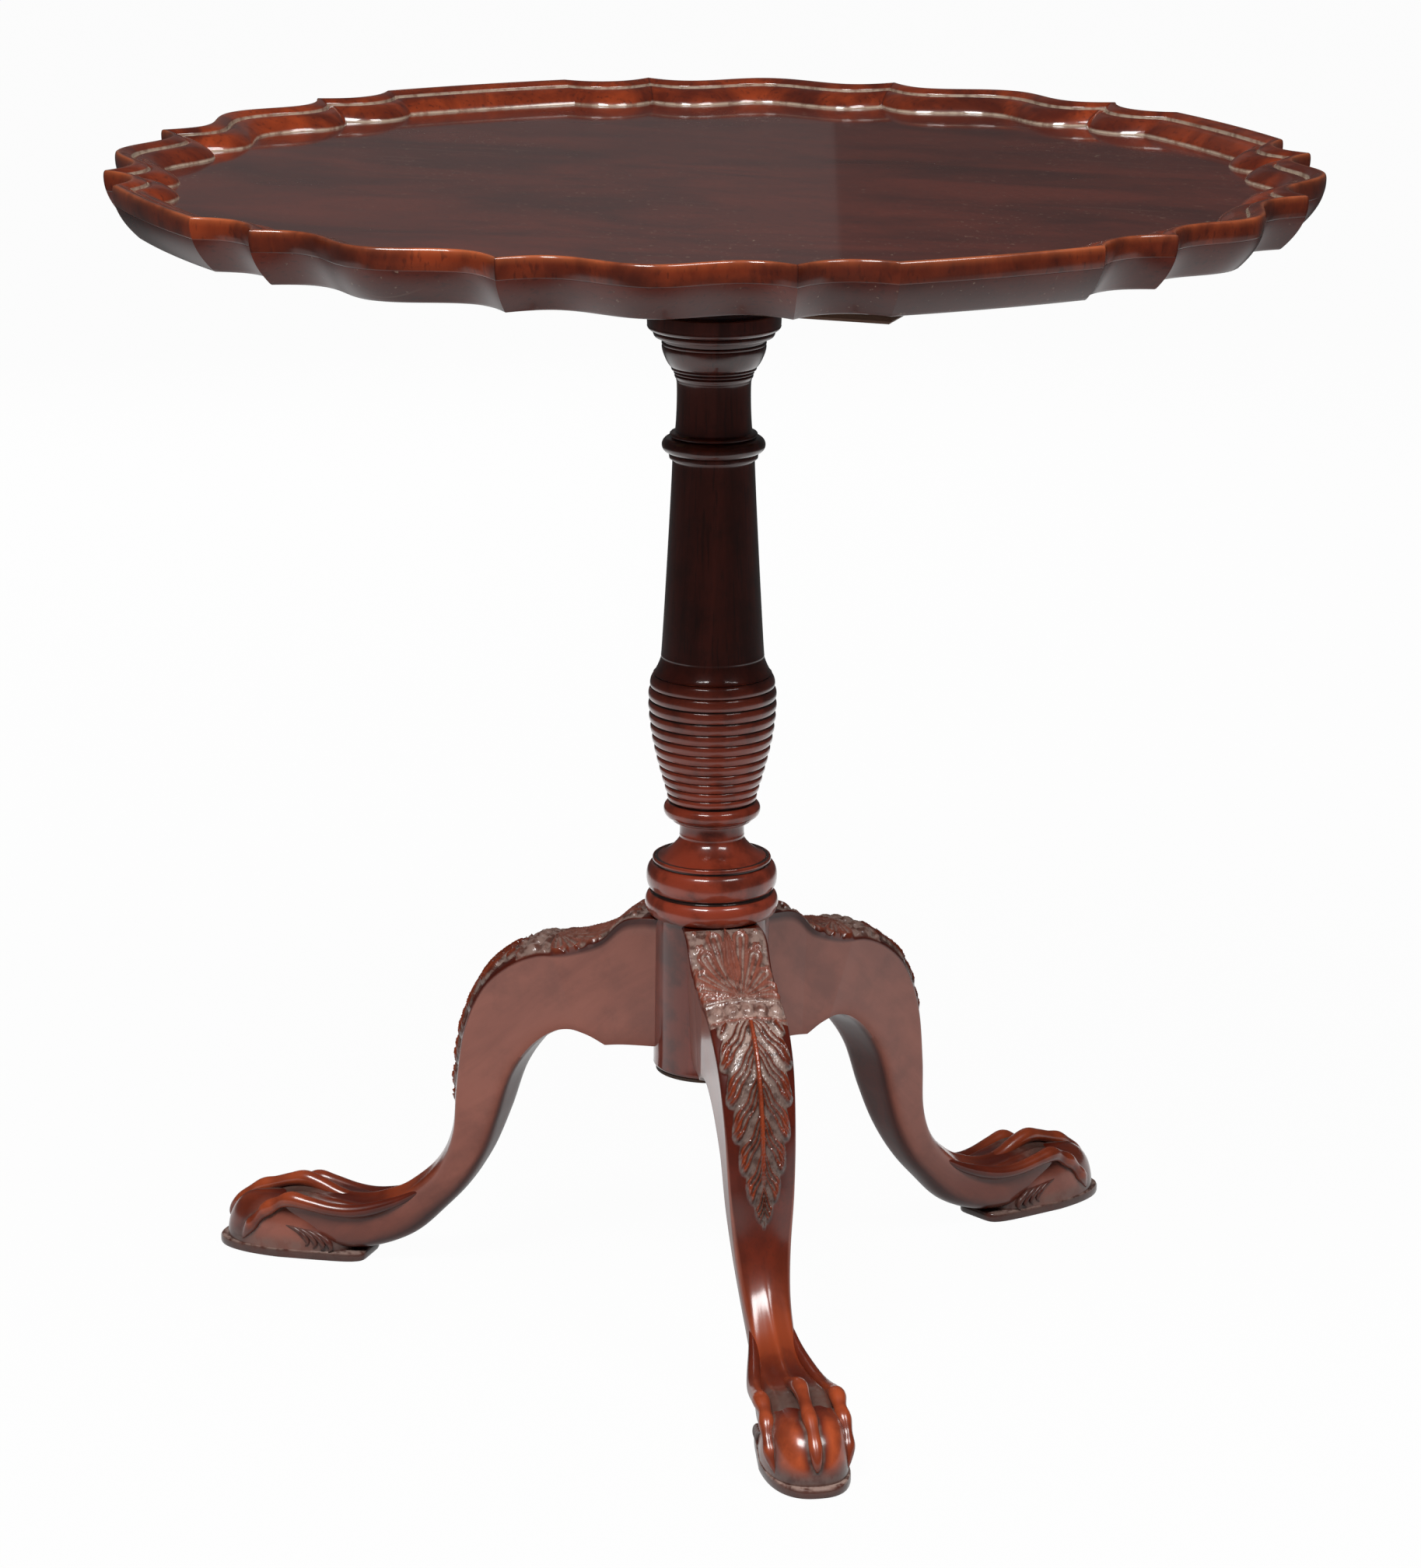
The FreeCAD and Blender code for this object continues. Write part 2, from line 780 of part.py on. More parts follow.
def make_bolt():
    half = bolt_width / 2
    bolt = box_between((bolt_tail, -half, bolt_bottom), (bolt_tip, half, bolt_top))
    socket = Part.makeCylinder(
        knob_stem_radius + screw_fit, bolt_height / 2, Vector(knob_place(), 0, bolt_bottom)
    )
    return bolt.cut(socket)


def make_knob():
    ball_top = -knob_stem_length
    ball_bottom = ball_top - knob_height
    stations = [
        (0, ball_bottom, 0),
        (knob_face_radius, ball_bottom, 0),
        (knob_stem_radius, ball_top, knob_radius - (knob_face_radius + knob_stem_radius) / 2),
        (knob_stem_radius, bolt_height / 2, 0),
        (0, bolt_height / 2, 0),
    ]
    knob = turned_solid(stations)
    knob.translate(Vector(knob_place(), 0, bolt_bottom))
    return knob


def keeper_opening(start, end):
    half = bolt_width / 2 + keeper_hole_clearance
    return box_between(
        (start, -half, bolt_bottom - keeper_hole_clearance), (end, half, bolt_top + keeper_hole_clearance)
    )


def keeper_screw_places():
    y = keeper_width / 2 - keeper_screw["head"] - 2 * screw_edge_margin
    return [(-block_end, side * y, keeper_mid) for side in (-1, 1)]


def make_keeper():
    low = keeper_mid - keeper_height / 2
    half = keeper_width / 2
    inner_face = -block_end + keeper_thickness
    plate = box_between((-block_end, -half, low), (inner_face, half, low + keeper_height))
    plate = plate.cut(keeper_opening(-block_end, inner_face))
    for place in keeper_screw_places():
        plate = plate.cut(screw_hole(keeper_screw, place, (1, 0, 0)))
    return plate


# Assembly
def make_parts():
    board = make_board()
    bearer_places = [place for side in (-1, 1) for place in bearer_screw_places(side)]
    for place in bearer_places:
        board = board.cut(screw_hole(bearer_screw, place, (0, 0, 1)))
    for place in catch_screw_places():
        board = board.cut(screw_hole(catch_screw, place, (0, 0, 1)))
    parts = {"top_board": board}
    parts.update(make_rim())
    parts["bearer_front"] = make_bearer(-1)
    parts["bearer_back"] = make_bearer(1)
    parts["bearer_screws"] = [wood_screw(bearer_screw, place, (0, 0, 1)) for place in bearer_places]
    parts["hinge_block"] = make_block()
    parts["hinge_pin_front"] = make_pin(-1)
    parts["hinge_pin_back"] = make_pin(1)
    parts["tenon_wedge"] = make_wedge()
    parts["column"] = make_column()
    leg = make_leg()
    plate_places = plate_screw_places()
    for name, angle in leg_angles.items():
        parts[name] = turned_about_z(leg, angle)
    parts["pillar_plate"] = make_pillar_plate()
    parts["pillar_plate_screws"] = [wood_screw(plate_screw, place, (0, 0, 1)) for place in plate_places]
    parts["catch_plate"] = make_catch_plate()
    parts["catch_screws"] = [wood_screw(catch_screw, place, (0, 0, 1)) for place in catch_screw_places()]
    parts["catch_bolt"] = make_bolt()
    parts["catch_knob"] = make_knob()
    parts["keeper_plate"] = make_keeper()
    parts["keeper_screws"] = [wood_screw(keeper_screw, place, (1, 0, 0)) for place in keeper_screw_places()]
    return parts


os.makedirs("parts", exist_ok=True)
for name, shape in make_parts().items():
    if isinstance(shape, list):
        shape = Part.makeCompound(shape)
    shape.exportStep(f"parts/{name}.step")
    solids = len(shape.Solids)
    print(f"{name}: {solids} solid(s), {shape.Volume / 1000:.1f} cm3, valid {shape.isValid()}")
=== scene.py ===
import math

import bpy
import numpy as np
from mathutils import Matrix


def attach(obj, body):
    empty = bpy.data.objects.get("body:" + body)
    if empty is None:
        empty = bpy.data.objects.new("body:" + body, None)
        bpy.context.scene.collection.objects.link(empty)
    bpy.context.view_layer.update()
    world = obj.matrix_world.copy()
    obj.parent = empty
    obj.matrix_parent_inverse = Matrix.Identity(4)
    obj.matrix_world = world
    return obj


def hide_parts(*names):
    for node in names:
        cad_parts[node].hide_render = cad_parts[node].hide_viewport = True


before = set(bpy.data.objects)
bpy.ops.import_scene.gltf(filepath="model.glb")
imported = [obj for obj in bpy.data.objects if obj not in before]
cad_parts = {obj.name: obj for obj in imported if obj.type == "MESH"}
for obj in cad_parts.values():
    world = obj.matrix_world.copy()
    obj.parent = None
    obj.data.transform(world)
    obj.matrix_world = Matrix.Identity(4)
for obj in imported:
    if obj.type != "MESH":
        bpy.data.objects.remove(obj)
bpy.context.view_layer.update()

# Piecrust tilt-top tea table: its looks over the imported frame. Shapes are worked out in millimetres.
mm = 0.001


# gives a node's sockets their values, or links to them
def fill(node, sockets):
    for key, value in sockets.items():
        if isinstance(value, Sock):
            value.tree.links.new(value.socket, node.inputs[key])
        elif node.inputs[key].type == "RGBA":
            node.inputs[key].default_value = (*value, 1)
        else:
            node.inputs[key].default_value = value


# a socket and its maths: an expression on values adds its Math nodes
class Sock:
    def __init__(self, tree, socket=None):
        self.tree = tree
        self.socket = socket

    def add(self, kind, settings=None, sockets=None, out=0):
        node = self.tree.nodes.new("ShaderNode" + kind)
        for key, value in (settings or {}).items():
            setattr(node, key, value)
        fill(node, sockets or {})
        return Sock(self.tree, node.outputs[out])

    def calc(self, operation, first, second):
        return self.add("Math", {"operation": operation}, {0: first, 1: second})

    def __add__(self, other):
        return self.calc("ADD", self, other)

    __radd__ = __add__

    def __rsub__(self, other):
        return self.calc("SUBTRACT", other, self)

    def __mul__(self, other):
        return self.calc("MULTIPLY", self, other)

    # a soft step from 0 at low to 1 at high
    def step(self, low, high):
        sockets = {"Value": self, "From Min": low, "From Max": high}
        return self.add("MapRange", {"interpolation_type": "SMOOTHSTEP"}, sockets)

    # this value is the share of the second colour
    def blend(self, first, second):
        return self.add("Mix", {"data_type": "RGBA"}, {0: self, 6: first, 7: second}, 2)

    # noise over a place
    def noise(self, place, scale, detail, more=None):
        return self.add("TexNoise", None, dict(more or {}, Vector=place, Scale=scale, Detail=detail))

    # a value that the piece's points carry
    def tag(self, name, out="Fac"):
        return self.add("Attribute", {"attribute_name": name}, out=out)


# a new material with its shader, and a start for its nodes
def newMaterial(name):
    material = bpy.data.materials.new(name)
    material.use_nodes = True
    tree = material.node_tree
    return material, tree.nodes["Principled BSDF"], Sock(tree)


# what the polished woods share: scales of noise, the soft steps that turn noise into marks, their strengths
polish = {
    "patinaScale": 9.0, "waveScale": 55.0, "dustScale": 330.0, "grimeScale": 170.0,
    "scratchTurn": (0.0, 0.0, 0.5), "scratchStretch": (8.0, 420.0, 8.0),
    "figureStep": (0.28, 0.72), "poreStep": (0.56, 0.7), "patinaStep": (0.45, 0.75),
    "stainStep": (0.46, 0.70),
    "dustStep": (0.66, 0.76), "dustyStep": (0.42, 0.62), "dustDepth": 0.8,
    "scratchStep": (0.69, 0.78), "scratchedStep": (0.5, 0.62), "scratchDepth": 0.3,
    "wornAndLitStep": (0.40, 0.66), "wornAndLitFull": 1.15, "wornAndLitPatchy": 0.5, "dryAndSheenStep": (0.5, 1.0), "dryAndSheenDepth": 0.95,
    "waxAndShadeStep": (0.12, 1.0), "paleStep": (0.33, 0.56),
    "figureRough": 0.08, "dimStep": (0.4, 0.7), "dimRough": 0.06, "waxAndShadeRough": 0.25,
    "poreBump": 0.03, "figureBump": 0.12, "bumpDeep": 0.002, "coatBend": 1.5,
}


# polished wood: long noise for the figure, finer long noise for the pores, patina and stains; the piece's own
# tags then lay on wear and painted light, dry sides and painted sheen, joints, wax and painted shade, and
# dull its coat
def polishedWood(name, look):
    material, shader, start = newMaterial(name)
    place = start.add("TexCoord", out="Object")
    grown = start.tag("grain", "Vector") if "grained" in look else place
    turn = look.get("turn", (0.0, 0.0, 0.0))
    run = start.add("Mapping", None, {"Vector": grown, "Rotation": turn, "Scale": look["stretch"]})
    figure = start.noise(run, look["figure"], 5.0, {"Roughness": 0.6, "Distortion": 0.7})
    pores = start.noise(run, look["pores"], 2.0)
    patina = start.noise(place, polish["patinaScale"], 3.0)
    stain = start.noise(place, look["stain"], 5.0, {"Roughness": 0.6})
    waves = start.noise(place, polish["waveScale"], 1.0)
    colour = figure.step(*polish["figureStep"]).blend(look["deep"], look["light"])
    colour = (pores.step(*polish["poreStep"]) * look["poreDepth"]).blend(colour, look["pore"])
    colour = (patina.step(*polish["patinaStep"]) * look["patinaDepth"]).blend(colour, look["patina"])
    dim = patina.step(*polish["dimStep"]) * polish["dimRough"]
    rough = figure * polish["figureRough"] + look["rough"] + dim
    if "specks" in look:
        dust = start.noise(place, polish["dustScale"], 2.0).step(*polish["dustStep"])
        dusty = patina.step(*polish["dustyStep"])
        colour = (dust * dusty * polish["dustDepth"]).blend(colour, look["specks"])
        drag = start.add("Mapping", None, {"Vector": place, "Rotation": polish["scratchTurn"],
                                           "Scale": polish["scratchStretch"]})
        scratch = start.noise(drag, 1.0, 1.0).step(*polish["scratchStep"])
        scratched = patina.step(*polish["scratchedStep"])
        colour = (scratch * scratched * polish["scratchDepth"]).blend(colour, look["specks"])
    # wear and painted light: lighter where rubbed, a painted highlight on the rim's crest, painted light low
    # on the column
    if "wornAndLit" in look:
        patchy = polish["wornAndLitFull"] - stain.step(*polish["wornAndLitStep"]) * polish["wornAndLitPatchy"]
        colour = (start.tag("wear") * look["wornAndLitDepth"] * patchy).blend(colour, look["wornAndLit"])
    # dry sides and painted sheen: a paler, greyer tone on the leg sides and the fan's ground
    if "dry" in look:
        tone = (figure + patina * 0.5).step(*polish["dryAndSheenStep"]).blend(look["dryAndSheenDeep"], look["dry"])
        colour = (start.tag("dry") * polish["dryAndSheenDepth"]).blend(colour, tone)
    colour = (stain.step(*polish["stainStep"]) * look["stainDepth"]).blend(colour, look["pore"])
    if "joint" in look:
        colour = (start.tag("joint") * look["joint"]).blend(colour, look["pore"])
    # wax in the grooves and carving; dark in the column's grooves, where it paints shade
    if "wax" in look:
        grime = start.noise(place, polish["grimeScale"], 4.0)
        patchy = 0.45 + patina * 0.5 + grime * 0.6
        waxAndShadeShare = (start.tag("wax") * patchy).step(*polish["waxAndShadeStep"]) * look["waxAndShadeDepth"]
        pale = grime.step(*polish["paleStep"])
        # painted shade: the wax turns to its dark tone where the piece is shaded
        if "paintedShadeDepth" in look:
            pale = pale * (1.0 - start.tag("soot") * look["paintedShadeDepth"])
        colour = waxAndShadeShare.blend(colour, pale.blend(look["waxAndShadeDeep"], look["wax"]))
        rough = rough + waxAndShadeShare * polish["waxAndShadeRough"]
    height = pores * polish["poreBump"] + figure * polish["figureBump"] + waves * look["uneven"]
    bump = {"Height": height, "Strength": look["bump"], "Distance": polish["bumpDeep"]}
    fill(shader, {"Base Color": colour, "Roughness": rough, "Normal": start.add("Bump", None, bump),
                  "Coat Weight": look["coat"], "Coat Roughness": look["coatRough"],
                  "Coat IOR": look.get("coatBend", polish["coatBend"]), "Specular IOR Level": look["gloss"]})
    if "dull" in look:
        fill(shader, {"Coat Weight": look["coat"] - start.tag("dull") * look["dull"]})
    return material


metal = {
    "tarnishScale": 70.0, "tarnishStep": (0.4, 0.7), "tarnishRough": 0.3,
    "scratchStretch": (40.0, 900.0, 900.0), "scratchRough": 0.15,
}


# worn metal: noise tarnish over the bright colour, long scratches in the roughness
def wornMetal(name, look):
    material, shader, start = newMaterial(name)
    place = start.add("TexCoord", out="Object")
    tarnish = start.noise(place, metal["tarnishScale"], 5.0)
    drag = start.add("Mapping", None, {"Vector": place, "Scale": metal["scratchStretch"]})
    scratch = start.noise(drag, 1.0, 2.0)
    colour = tarnish.step(*metal["tarnishStep"]).blend(look["bright"], look["tarnish"])
    rough = tarnish * metal["tarnishRough"] + scratch * metal["scratchRough"] + look["rough"]
    fill(shader, {"Base Color": colour, "Roughness": rough, "Metallic": look["metal"]})
    return material


topLook = {
    "turn": (0.0, 0.0, math.radians(-19.0)), "stretch": (3.0, 8.0, 8.0), "figure": 2.2, "pores": 60.0,
    "deep": (0.048, 0.007, 0.004), "light": (0.105, 0.017, 0.009), "pore": (0.022, 0.005, 0.004),
    "poreDepth": 0.4, "patina": (0.070, 0.016, 0.012), "patinaDepth": 0.35, "stain": 14.0, "stainDepth": 0.25,
    "rough": 0.24, "bump": 0.08, "uneven": 0.02, "specks": (0.24, 0.155, 0.11),
    "coat": 1.0, "coatRough": 0.055, "coatBend": 1.55, "gloss": 0.4, "dull": 0.85,
}
# the rim's worn tone is also a painted highlight along its crest
rimLook = {
    "stretch": (14.0, 14.0, 5.0), "figure": 2.2, "pores": 26.0,
    "deep": (0.062, 0.009, 0.004), "light": (0.200, 0.030, 0.008), "pore": (0.030, 0.006, 0.004),
    "poreDepth": 0.5, "patina": (0.045, 0.009, 0.006), "patinaDepth": 0.75, "stain": 16.0, "stainDepth": 0.75,
    "rough": 0.26, "bump": 0.1, "uneven": 0.8, "wornAndLit": (0.37, 0.10, 0.036), "wornAndLitDepth": 0.5,
    "wax": (0.34, 0.27, 0.205), "waxAndShadeDeep": (0.20, 0.14, 0.10), "waxAndShadeDepth": 0.85, "joint": 0.8,
    "coat": 1.0, "coatRough": 0.10, "gloss": 0.15,
}
# the column's worn tone also paints light low down, and its dark wax paints shade in the grooves
columnLook = {
    "stretch": (30.0, 30.0, 1.6), "figure": 1.6, "pores": 18.0,
    "deep": (0.042, 0.006, 0.003), "light": (0.105, 0.015, 0.007), "pore": (0.020, 0.004, 0.003),
    "poreDepth": 0.5, "patina": (0.070, 0.015, 0.010), "patinaDepth": 0.3, "stain": 40.0, "stainDepth": 0.45,
    "rough": 0.26, "bump": 0.1, "uneven": 0.4, "wornAndLit": (0.300, 0.045, 0.020), "wornAndLitDepth": 0.9,
    "wax": (0.018, 0.007, 0.005), "waxAndShadeDeep": (0.014, 0.005, 0.004), "waxAndShadeDepth": 0.95,
    "coat": 1.0, "coatRough": 0.10, "gloss": 0.2,
}
# the leg's dry tones also paint a sheen on its sides, and its deep wax tone paints shade in the hollows
legLook = {
    "grained": True, "stretch": (4.0, 20.0, 20.0), "figure": 2.4, "pores": 34.0,
    "deep": (0.048, 0.005, 0.002), "light": (0.098, 0.010, 0.003), "pore": (0.030, 0.006, 0.004),
    "poreDepth": 0.4, "patina": (0.085, 0.019, 0.013), "patinaDepth": 0.4, "stain": 32.0, "stainDepth": 0.22,
    "rough": 0.30, "bump": 0.1, "uneven": 1.6, "wornAndLit": (0.42, 0.075, 0.022), "wornAndLitDepth": 0.75,
    "wax": (0.310, 0.225, 0.190), "waxAndShadeDeep": (0.064, 0.041, 0.033), "waxAndShadeDepth": 0.85, "paintedShadeDepth": 0.95,
    "dry": (0.300, 0.096, 0.064), "dryAndSheenDeep": (0.230, 0.069, 0.046), "dull": 0.5,
    "coat": 0.9, "coatRough": 0.19, "gloss": 0.15,
}
bearerLook = {
    "stretch": (2.0, 30.0, 30.0), "figure": 2.4, "pores": 22.0,
    "deep": (0.075, 0.032, 0.017), "light": (0.150, 0.070, 0.038), "pore": (0.040, 0.018, 0.010),
    "poreDepth": 0.5, "patina": (0.090, 0.050, 0.034), "patinaDepth": 0.5, "stain": 20.0, "stainDepth": 0.3,
    "rough": 0.55, "bump": 0.15, "uneven": 0.5, "coat": 0.0, "coatRough": 0.3, "gloss": 0.3,
}
pinLook = dict(bearerLook, deep=(0.10, 0.045, 0.020), light=(0.19, 0.10, 0.05), stretch=(30.0, 2.0, 30.0))
brassLook = {"bright": (0.52, 0.34, 0.11), "tarnish": (0.16, 0.085, 0.030), "rough": 0.22, "metal": 0.92}
ironLook = {"bright": (0.060, 0.052, 0.047), "tarnish": (0.075, 0.034, 0.018), "rough": 0.5, "metal": 0.55}

topWood = polishedWood("topMahogany", topLook)
rimWood = polishedWood("rimMahogany", rimLook)
columnWood = polishedWood("columnMahogany", columnLook)
legWood = polishedWood("legMahogany", legLook)
bearerWood = polishedWood("bearerWood", bearerLook)
pinWood = polishedWood("pinWood", pinLook)
brass = wornMetal("agedBrass", brassLook)
iron = wornMetal("blackenedIron", ironLook)
print("finishes made")


# a skin over rings (ring, place, xyz): each ring closes on itself, the two ends close on a middle point,
# or the last ring joins the first when looped; tags are a value or a vector per point
def skin(rings, tags=None, looped=False):
    count, around = rings.shape[:2]
    points = rings.reshape(-1, 3)
    index = np.arange(count * around).reshape(count, around)
    low = index if looped else index[:-1]
    high = np.roll(index, -1, 0) if looped else index[1:]
    quads = np.stack([low, np.roll(low, -1, 1), np.roll(high, -1, 1), high], -1).reshape(-1, 4)
    tris = np.zeros((0, 3), int)
    flat = {key: value.reshape(count * around, -1) for key, value in (tags or {}).items()}
    if not looped:
        points = np.vstack([points, rings[0].mean(0), rings[-1].mean(0)])
        first = np.stack([np.roll(index[0], -1), index[0], np.full(around, count * around)], -1)
        last = np.stack([index[-1], np.roll(index[-1], -1), np.full(around, count * around + 1)], -1)
        tris = np.vstack([first, last])
        flat = {key: np.vstack([value, value[:around].mean(0), value[-around:].mean(0)])
                for key, value in flat.items()}
    corners = np.vstack([quads[:, [0, 1, 2]], quads[:, [0, 2, 3]], tris])
    a, b, c = points[corners[:, 0]], points[corners[:, 1]], points[corners[:, 2]]
    if np.einsum("ij,ij", a, np.cross(b, c)) < 0:
        quads, tris = quads[:, ::-1], tris[:, ::-1]
    return points, quads, tris, flat


# a new object in the scene
def newObject(name, data):
    thing = bpy.data.objects.new(name, data)
    bpy.context.scene.collection.objects.link(thing)
    return thing


# puts skins into one mesh piece that rides on its body and stands for its nodes
def putPiece(name, skins, body, nodes, finish, sharp):
    starts = np.cumsum([0] + [len(part[0]) for part in skins])
    points = np.vstack([part[0] for part in skins]) * mm
    quads = np.vstack([part[1] + base for part, base in zip(skins, starts)])
    tris = np.vstack([part[2] + base for part, base in zip(skins, starts)])
    loops = np.hstack([quads.ravel(), tris.ravel()]).astype(np.int32)
    sizes = np.hstack([np.full(len(quads), 4), np.full(len(tris), 3)])
    begins = np.hstack([[0], np.cumsum(sizes)[:-1]]).astype(np.int32)
    mesh = bpy.data.meshes.new(name)
    mesh.vertices.add(len(points))
    mesh.vertices.foreach_set("co", points.astype(np.float32).ravel())
    mesh.loops.add(len(loops))
    mesh.loops.foreach_set("vertex_index", loops)
    mesh.polygons.add(len(begins))
    mesh.polygons.foreach_set("loop_start", begins)
    mesh.update(calc_edges=True)
    mesh.validate()
    for tag in sorted({key for part in skins for key in part[3]}):
        values = np.vstack([part[3].get(tag, np.zeros((len(part[0]), 1))) for part in skins])
        kind, field = ("FLOAT_VECTOR", "vector") if values.shape[1] == 3 else ("FLOAT", "value")
        mesh.attributes.new(tag, kind, "POINT").data.foreach_set(field, values.astype(np.float32).ravel())
    mesh.shade_smooth()
    mesh.set_sharp_from_angle(angle=math.radians(sharp))
    mesh.materials.append(finish)
    piece = newObject(name, mesh)
    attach(piece, body)
    if nodes:
        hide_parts(*nodes)
    print(name, len(points), "points", len(quads) * 2 + len(tris), "triangles")


# a smooth run through rows at parameters from 0 to the last row's number: Catmull-Rom,
# half of 2b + (c-a)t + (2a-5b+4c-d)t^2 + (3b-a-3c+d)t^3
def smoothRun(rows, at):
    rows = np.array(rows, float)
    padded = np.vstack([2 * rows[0] - rows[1], rows, 2 * rows[-1] - rows[-2]])
    k = np.clip(at.astype(int), 0, len(rows) - 2)
    t = (at - k)[:, None]
    a, b, c, d = padded[k], padded[k + 1], padded[k + 2], padded[k + 3]
    second, third = 2 * a - 5 * b + 4 * c - d, 3 * b - a - 3 * c + d
    return 0.5 * (2 * b + (c - a) * t + second * t ** 2 + third * t ** 3)


# 0 at the first value and 1 at the second, straight between them
def ramp(values, zero, one):
    return np.clip((values - zero) / (one - zero), 0, 1)


# vectors of length 1
def unit(vectors):
    return vectors / np.linalg.norm(vectors, axis=-1, keepdims=True)


# even angles round a circle
def circle(count):
    return np.linspace(0, 2 * np.pi, count, endpoint=False)


# one value per ring, for every place round it
def allRound(values, count):
    return np.repeat(np.array(values, float)[:, None], count, 1)


top = {
    "radius": 369.0, "boardLow": 700.0, "boardHigh": 720.0,
    # the belly under the edge: insets at its top and foot, how straight it starts, gaps to the faces, steps
    "bellyFrom": 1.65, "bellyInset": 15.6, "bellyTurn": 0.48, "bellyEase": 0.1, "bellyDrop": 0.7,
    "bellySteps": 15,
    # rows of the board's flat faces, from the middle out and back: inset, share of the radius
    "underRows": [(20.0, 0.02), (20.0, 0.5), (20.0, 1.0), (16.8, 1.0)],
    "fieldRows": [(2.0, 1.0), (4.0, 1.0), (4.0, 0.5), (4.0, 0.02)],
    # bearings from the middle of a broad lobe, and how deep the edge lies inside the radius there
    "innerCorner": 10.0, "outerCorner": 18.9, "deepHollow": 23.4, "roundLobe": 31.5, "longHollow": 40.5,
    "prowAt": 45.0, "broadDepth": 2.5, "shortDepth": 14.0, "deepDepth": 16.0, "longDepth": 17.5,
    "prowDepth": 1.0, "steepness": 2.2,
    # half the width of a joint line, steps across a broad lobe, then from its inner corner out to the prow
    "jointHalf": 0.15, "stepsAcross": 30, "stepsOut": [22, 1, 1, 10, 14, 14, 10, 1],
    # the rim's section: inset from the scalloped edge, height above the board
    "rimSection": [(2.4, 0.0), (1.65, 0.1), (1.0, 2.0), (0.5, 4.0), (0.14, 6.5), (0.0, 9.2), (0.15, 11.2),
                   (0.7, 12.5), (1.9, 13.0),
                   (4.2, 12.8), (6.8, 12.0), (9.2, 11.0), (10.1, 10.3), (10.5, 8.2), (10.9, 7.8), (11.5, 8.4),
                   (13.4, 9.2), (16.2, 9.1), (19.8, 8.0), (23.4, 6.1), (26.2, 4.2), (28.0, 2.6), (29.0, 1.2),
                   (29.4, 0.4), (29.5, 0.0)],
    "sectionSteps": 89, "rimHigh": 13.0,
    # wax in the groove and along the field, wear and a painted highlight on the outer edge: insets, half
    # widths, heights
    "grooveAt": 10.9, "fieldAt": 29.7, "waxHalf": 0.9,
    "wornAndLitAt": 1.2, "wornAndLitHalf": 1.4, "wornAndLitRise": (8.0, 12.0),
}


# how deep the scalloped edge lies at a bearing from a broad lobe's middle: a flat arc, a hollow between two
# sharp corners, a deeper hollow, a round lobe and a long hollow as cosines, and a prow
def edgeDepth(angle):
    away = np.abs(angle)
    inner, outer, deep = top["innerCorner"], top["outerCorner"], top["deepHollow"]
    lobe, long = top["roundLobe"], top["longHollow"]
    short = np.abs(away - (inner + outer) / 2) / ((outer - inner) / 2)
    fall, rise, sink = ramp(away, deep, outer), ramp(away, deep, lobe), ramp(away, lobe, long)
    prow = ramp(away, long, top["prowAt"])
    return np.select(
        [away <= inner, away <= outer, away <= deep, away <= lobe, away <= long],
        [top["broadDepth"] * (1 - (away / inner) ** 2),
         top["shortDepth"] * (1 - short ** top["steepness"]),
         top["deepDepth"] * (1 - fall ** top["steepness"]),
         top["deepDepth"] * (1 + np.cos(np.pi * rise)) / 2,
         top["longDepth"] * (1 - np.cos(np.pi * sink)) / 2],
        top["longDepth"] - (top["longDepth"] - top["prowDepth"]) * prow ** 2)


# bearings all round, with every corner and prow hit exactly: even steps between the ends of the scallops
def edgeBearings():
    joint, prow, thin = top["outerCorner"], top["prowAt"], top["jointHalf"]
    outward = [top["innerCorner"], joint - thin, joint, joint + thin, top["deepHollow"], top["roundLobe"],
               top["longHollow"], prow - thin, prow]
    ends = [-end for end in reversed(outward)] + outward
    steps = top["stepsOut"][::-1] + [top["stepsAcross"]] + top["stepsOut"]
    quarter = np.hstack([np.linspace(a, b, n, endpoint=False) for a, b, n in zip(ends, ends[1:], steps)])
    return np.hstack([prow * (2 * k + 1) + quarter for k in range(4)]), np.tile(quarter, 4)


bearing, quarterAngle = edgeBearings()
edgeRadius = top["radius"] - edgeDepth(quarterAngle)
edgeCos, edgeSin = np.cos(np.radians(bearing)), np.sin(np.radians(bearing))


# rings that follow the scalloped edge: radius less inset, times a share, at a level
def edgeRings(insets, levels, shares=1.0):
    radius = (edgeRadius[None, :] - np.array(insets)[:, None]) * np.reshape(shares, (-1, 1))
    return np.stack([radius * edgeCos, radius * edgeSin, allRound(levels, len(bearing))], -1)


# the board: flat below, a belly that leans in as inset*(k*t + (1-k)*t^2) down the edge, flat on top
def board():
    t = np.linspace(1.0, 0.0, top["bellySteps"])
    lean = top["bellyTurn"] * t + (1 - top["bellyTurn"]) * t ** 2
    belly = top["bellyFrom"] + (top["bellyInset"] - top["bellyFrom"]) * lean
    low, high = top["boardLow"], top["boardHigh"]
    bellyLevel = high - top["bellyEase"] - (high - low - top["bellyDrop"]) * t
    under, field = np.array(top["underRows"]), np.array(top["fieldRows"])
    insets = np.hstack([under[:, 0], belly, field[:, 0]])
    levels = np.hstack([np.full(len(under), low), bellyLevel, np.full(len(field), high)])
    shares = np.hstack([under[:, 1], np.ones(len(t)), field[:, 1]])
    dull = np.hstack([np.ones(len(under) + len(t)), np.zeros(len(field))])
    return skin(edgeRings(insets, levels, shares), {"dull": allRound(dull, len(bearing))})


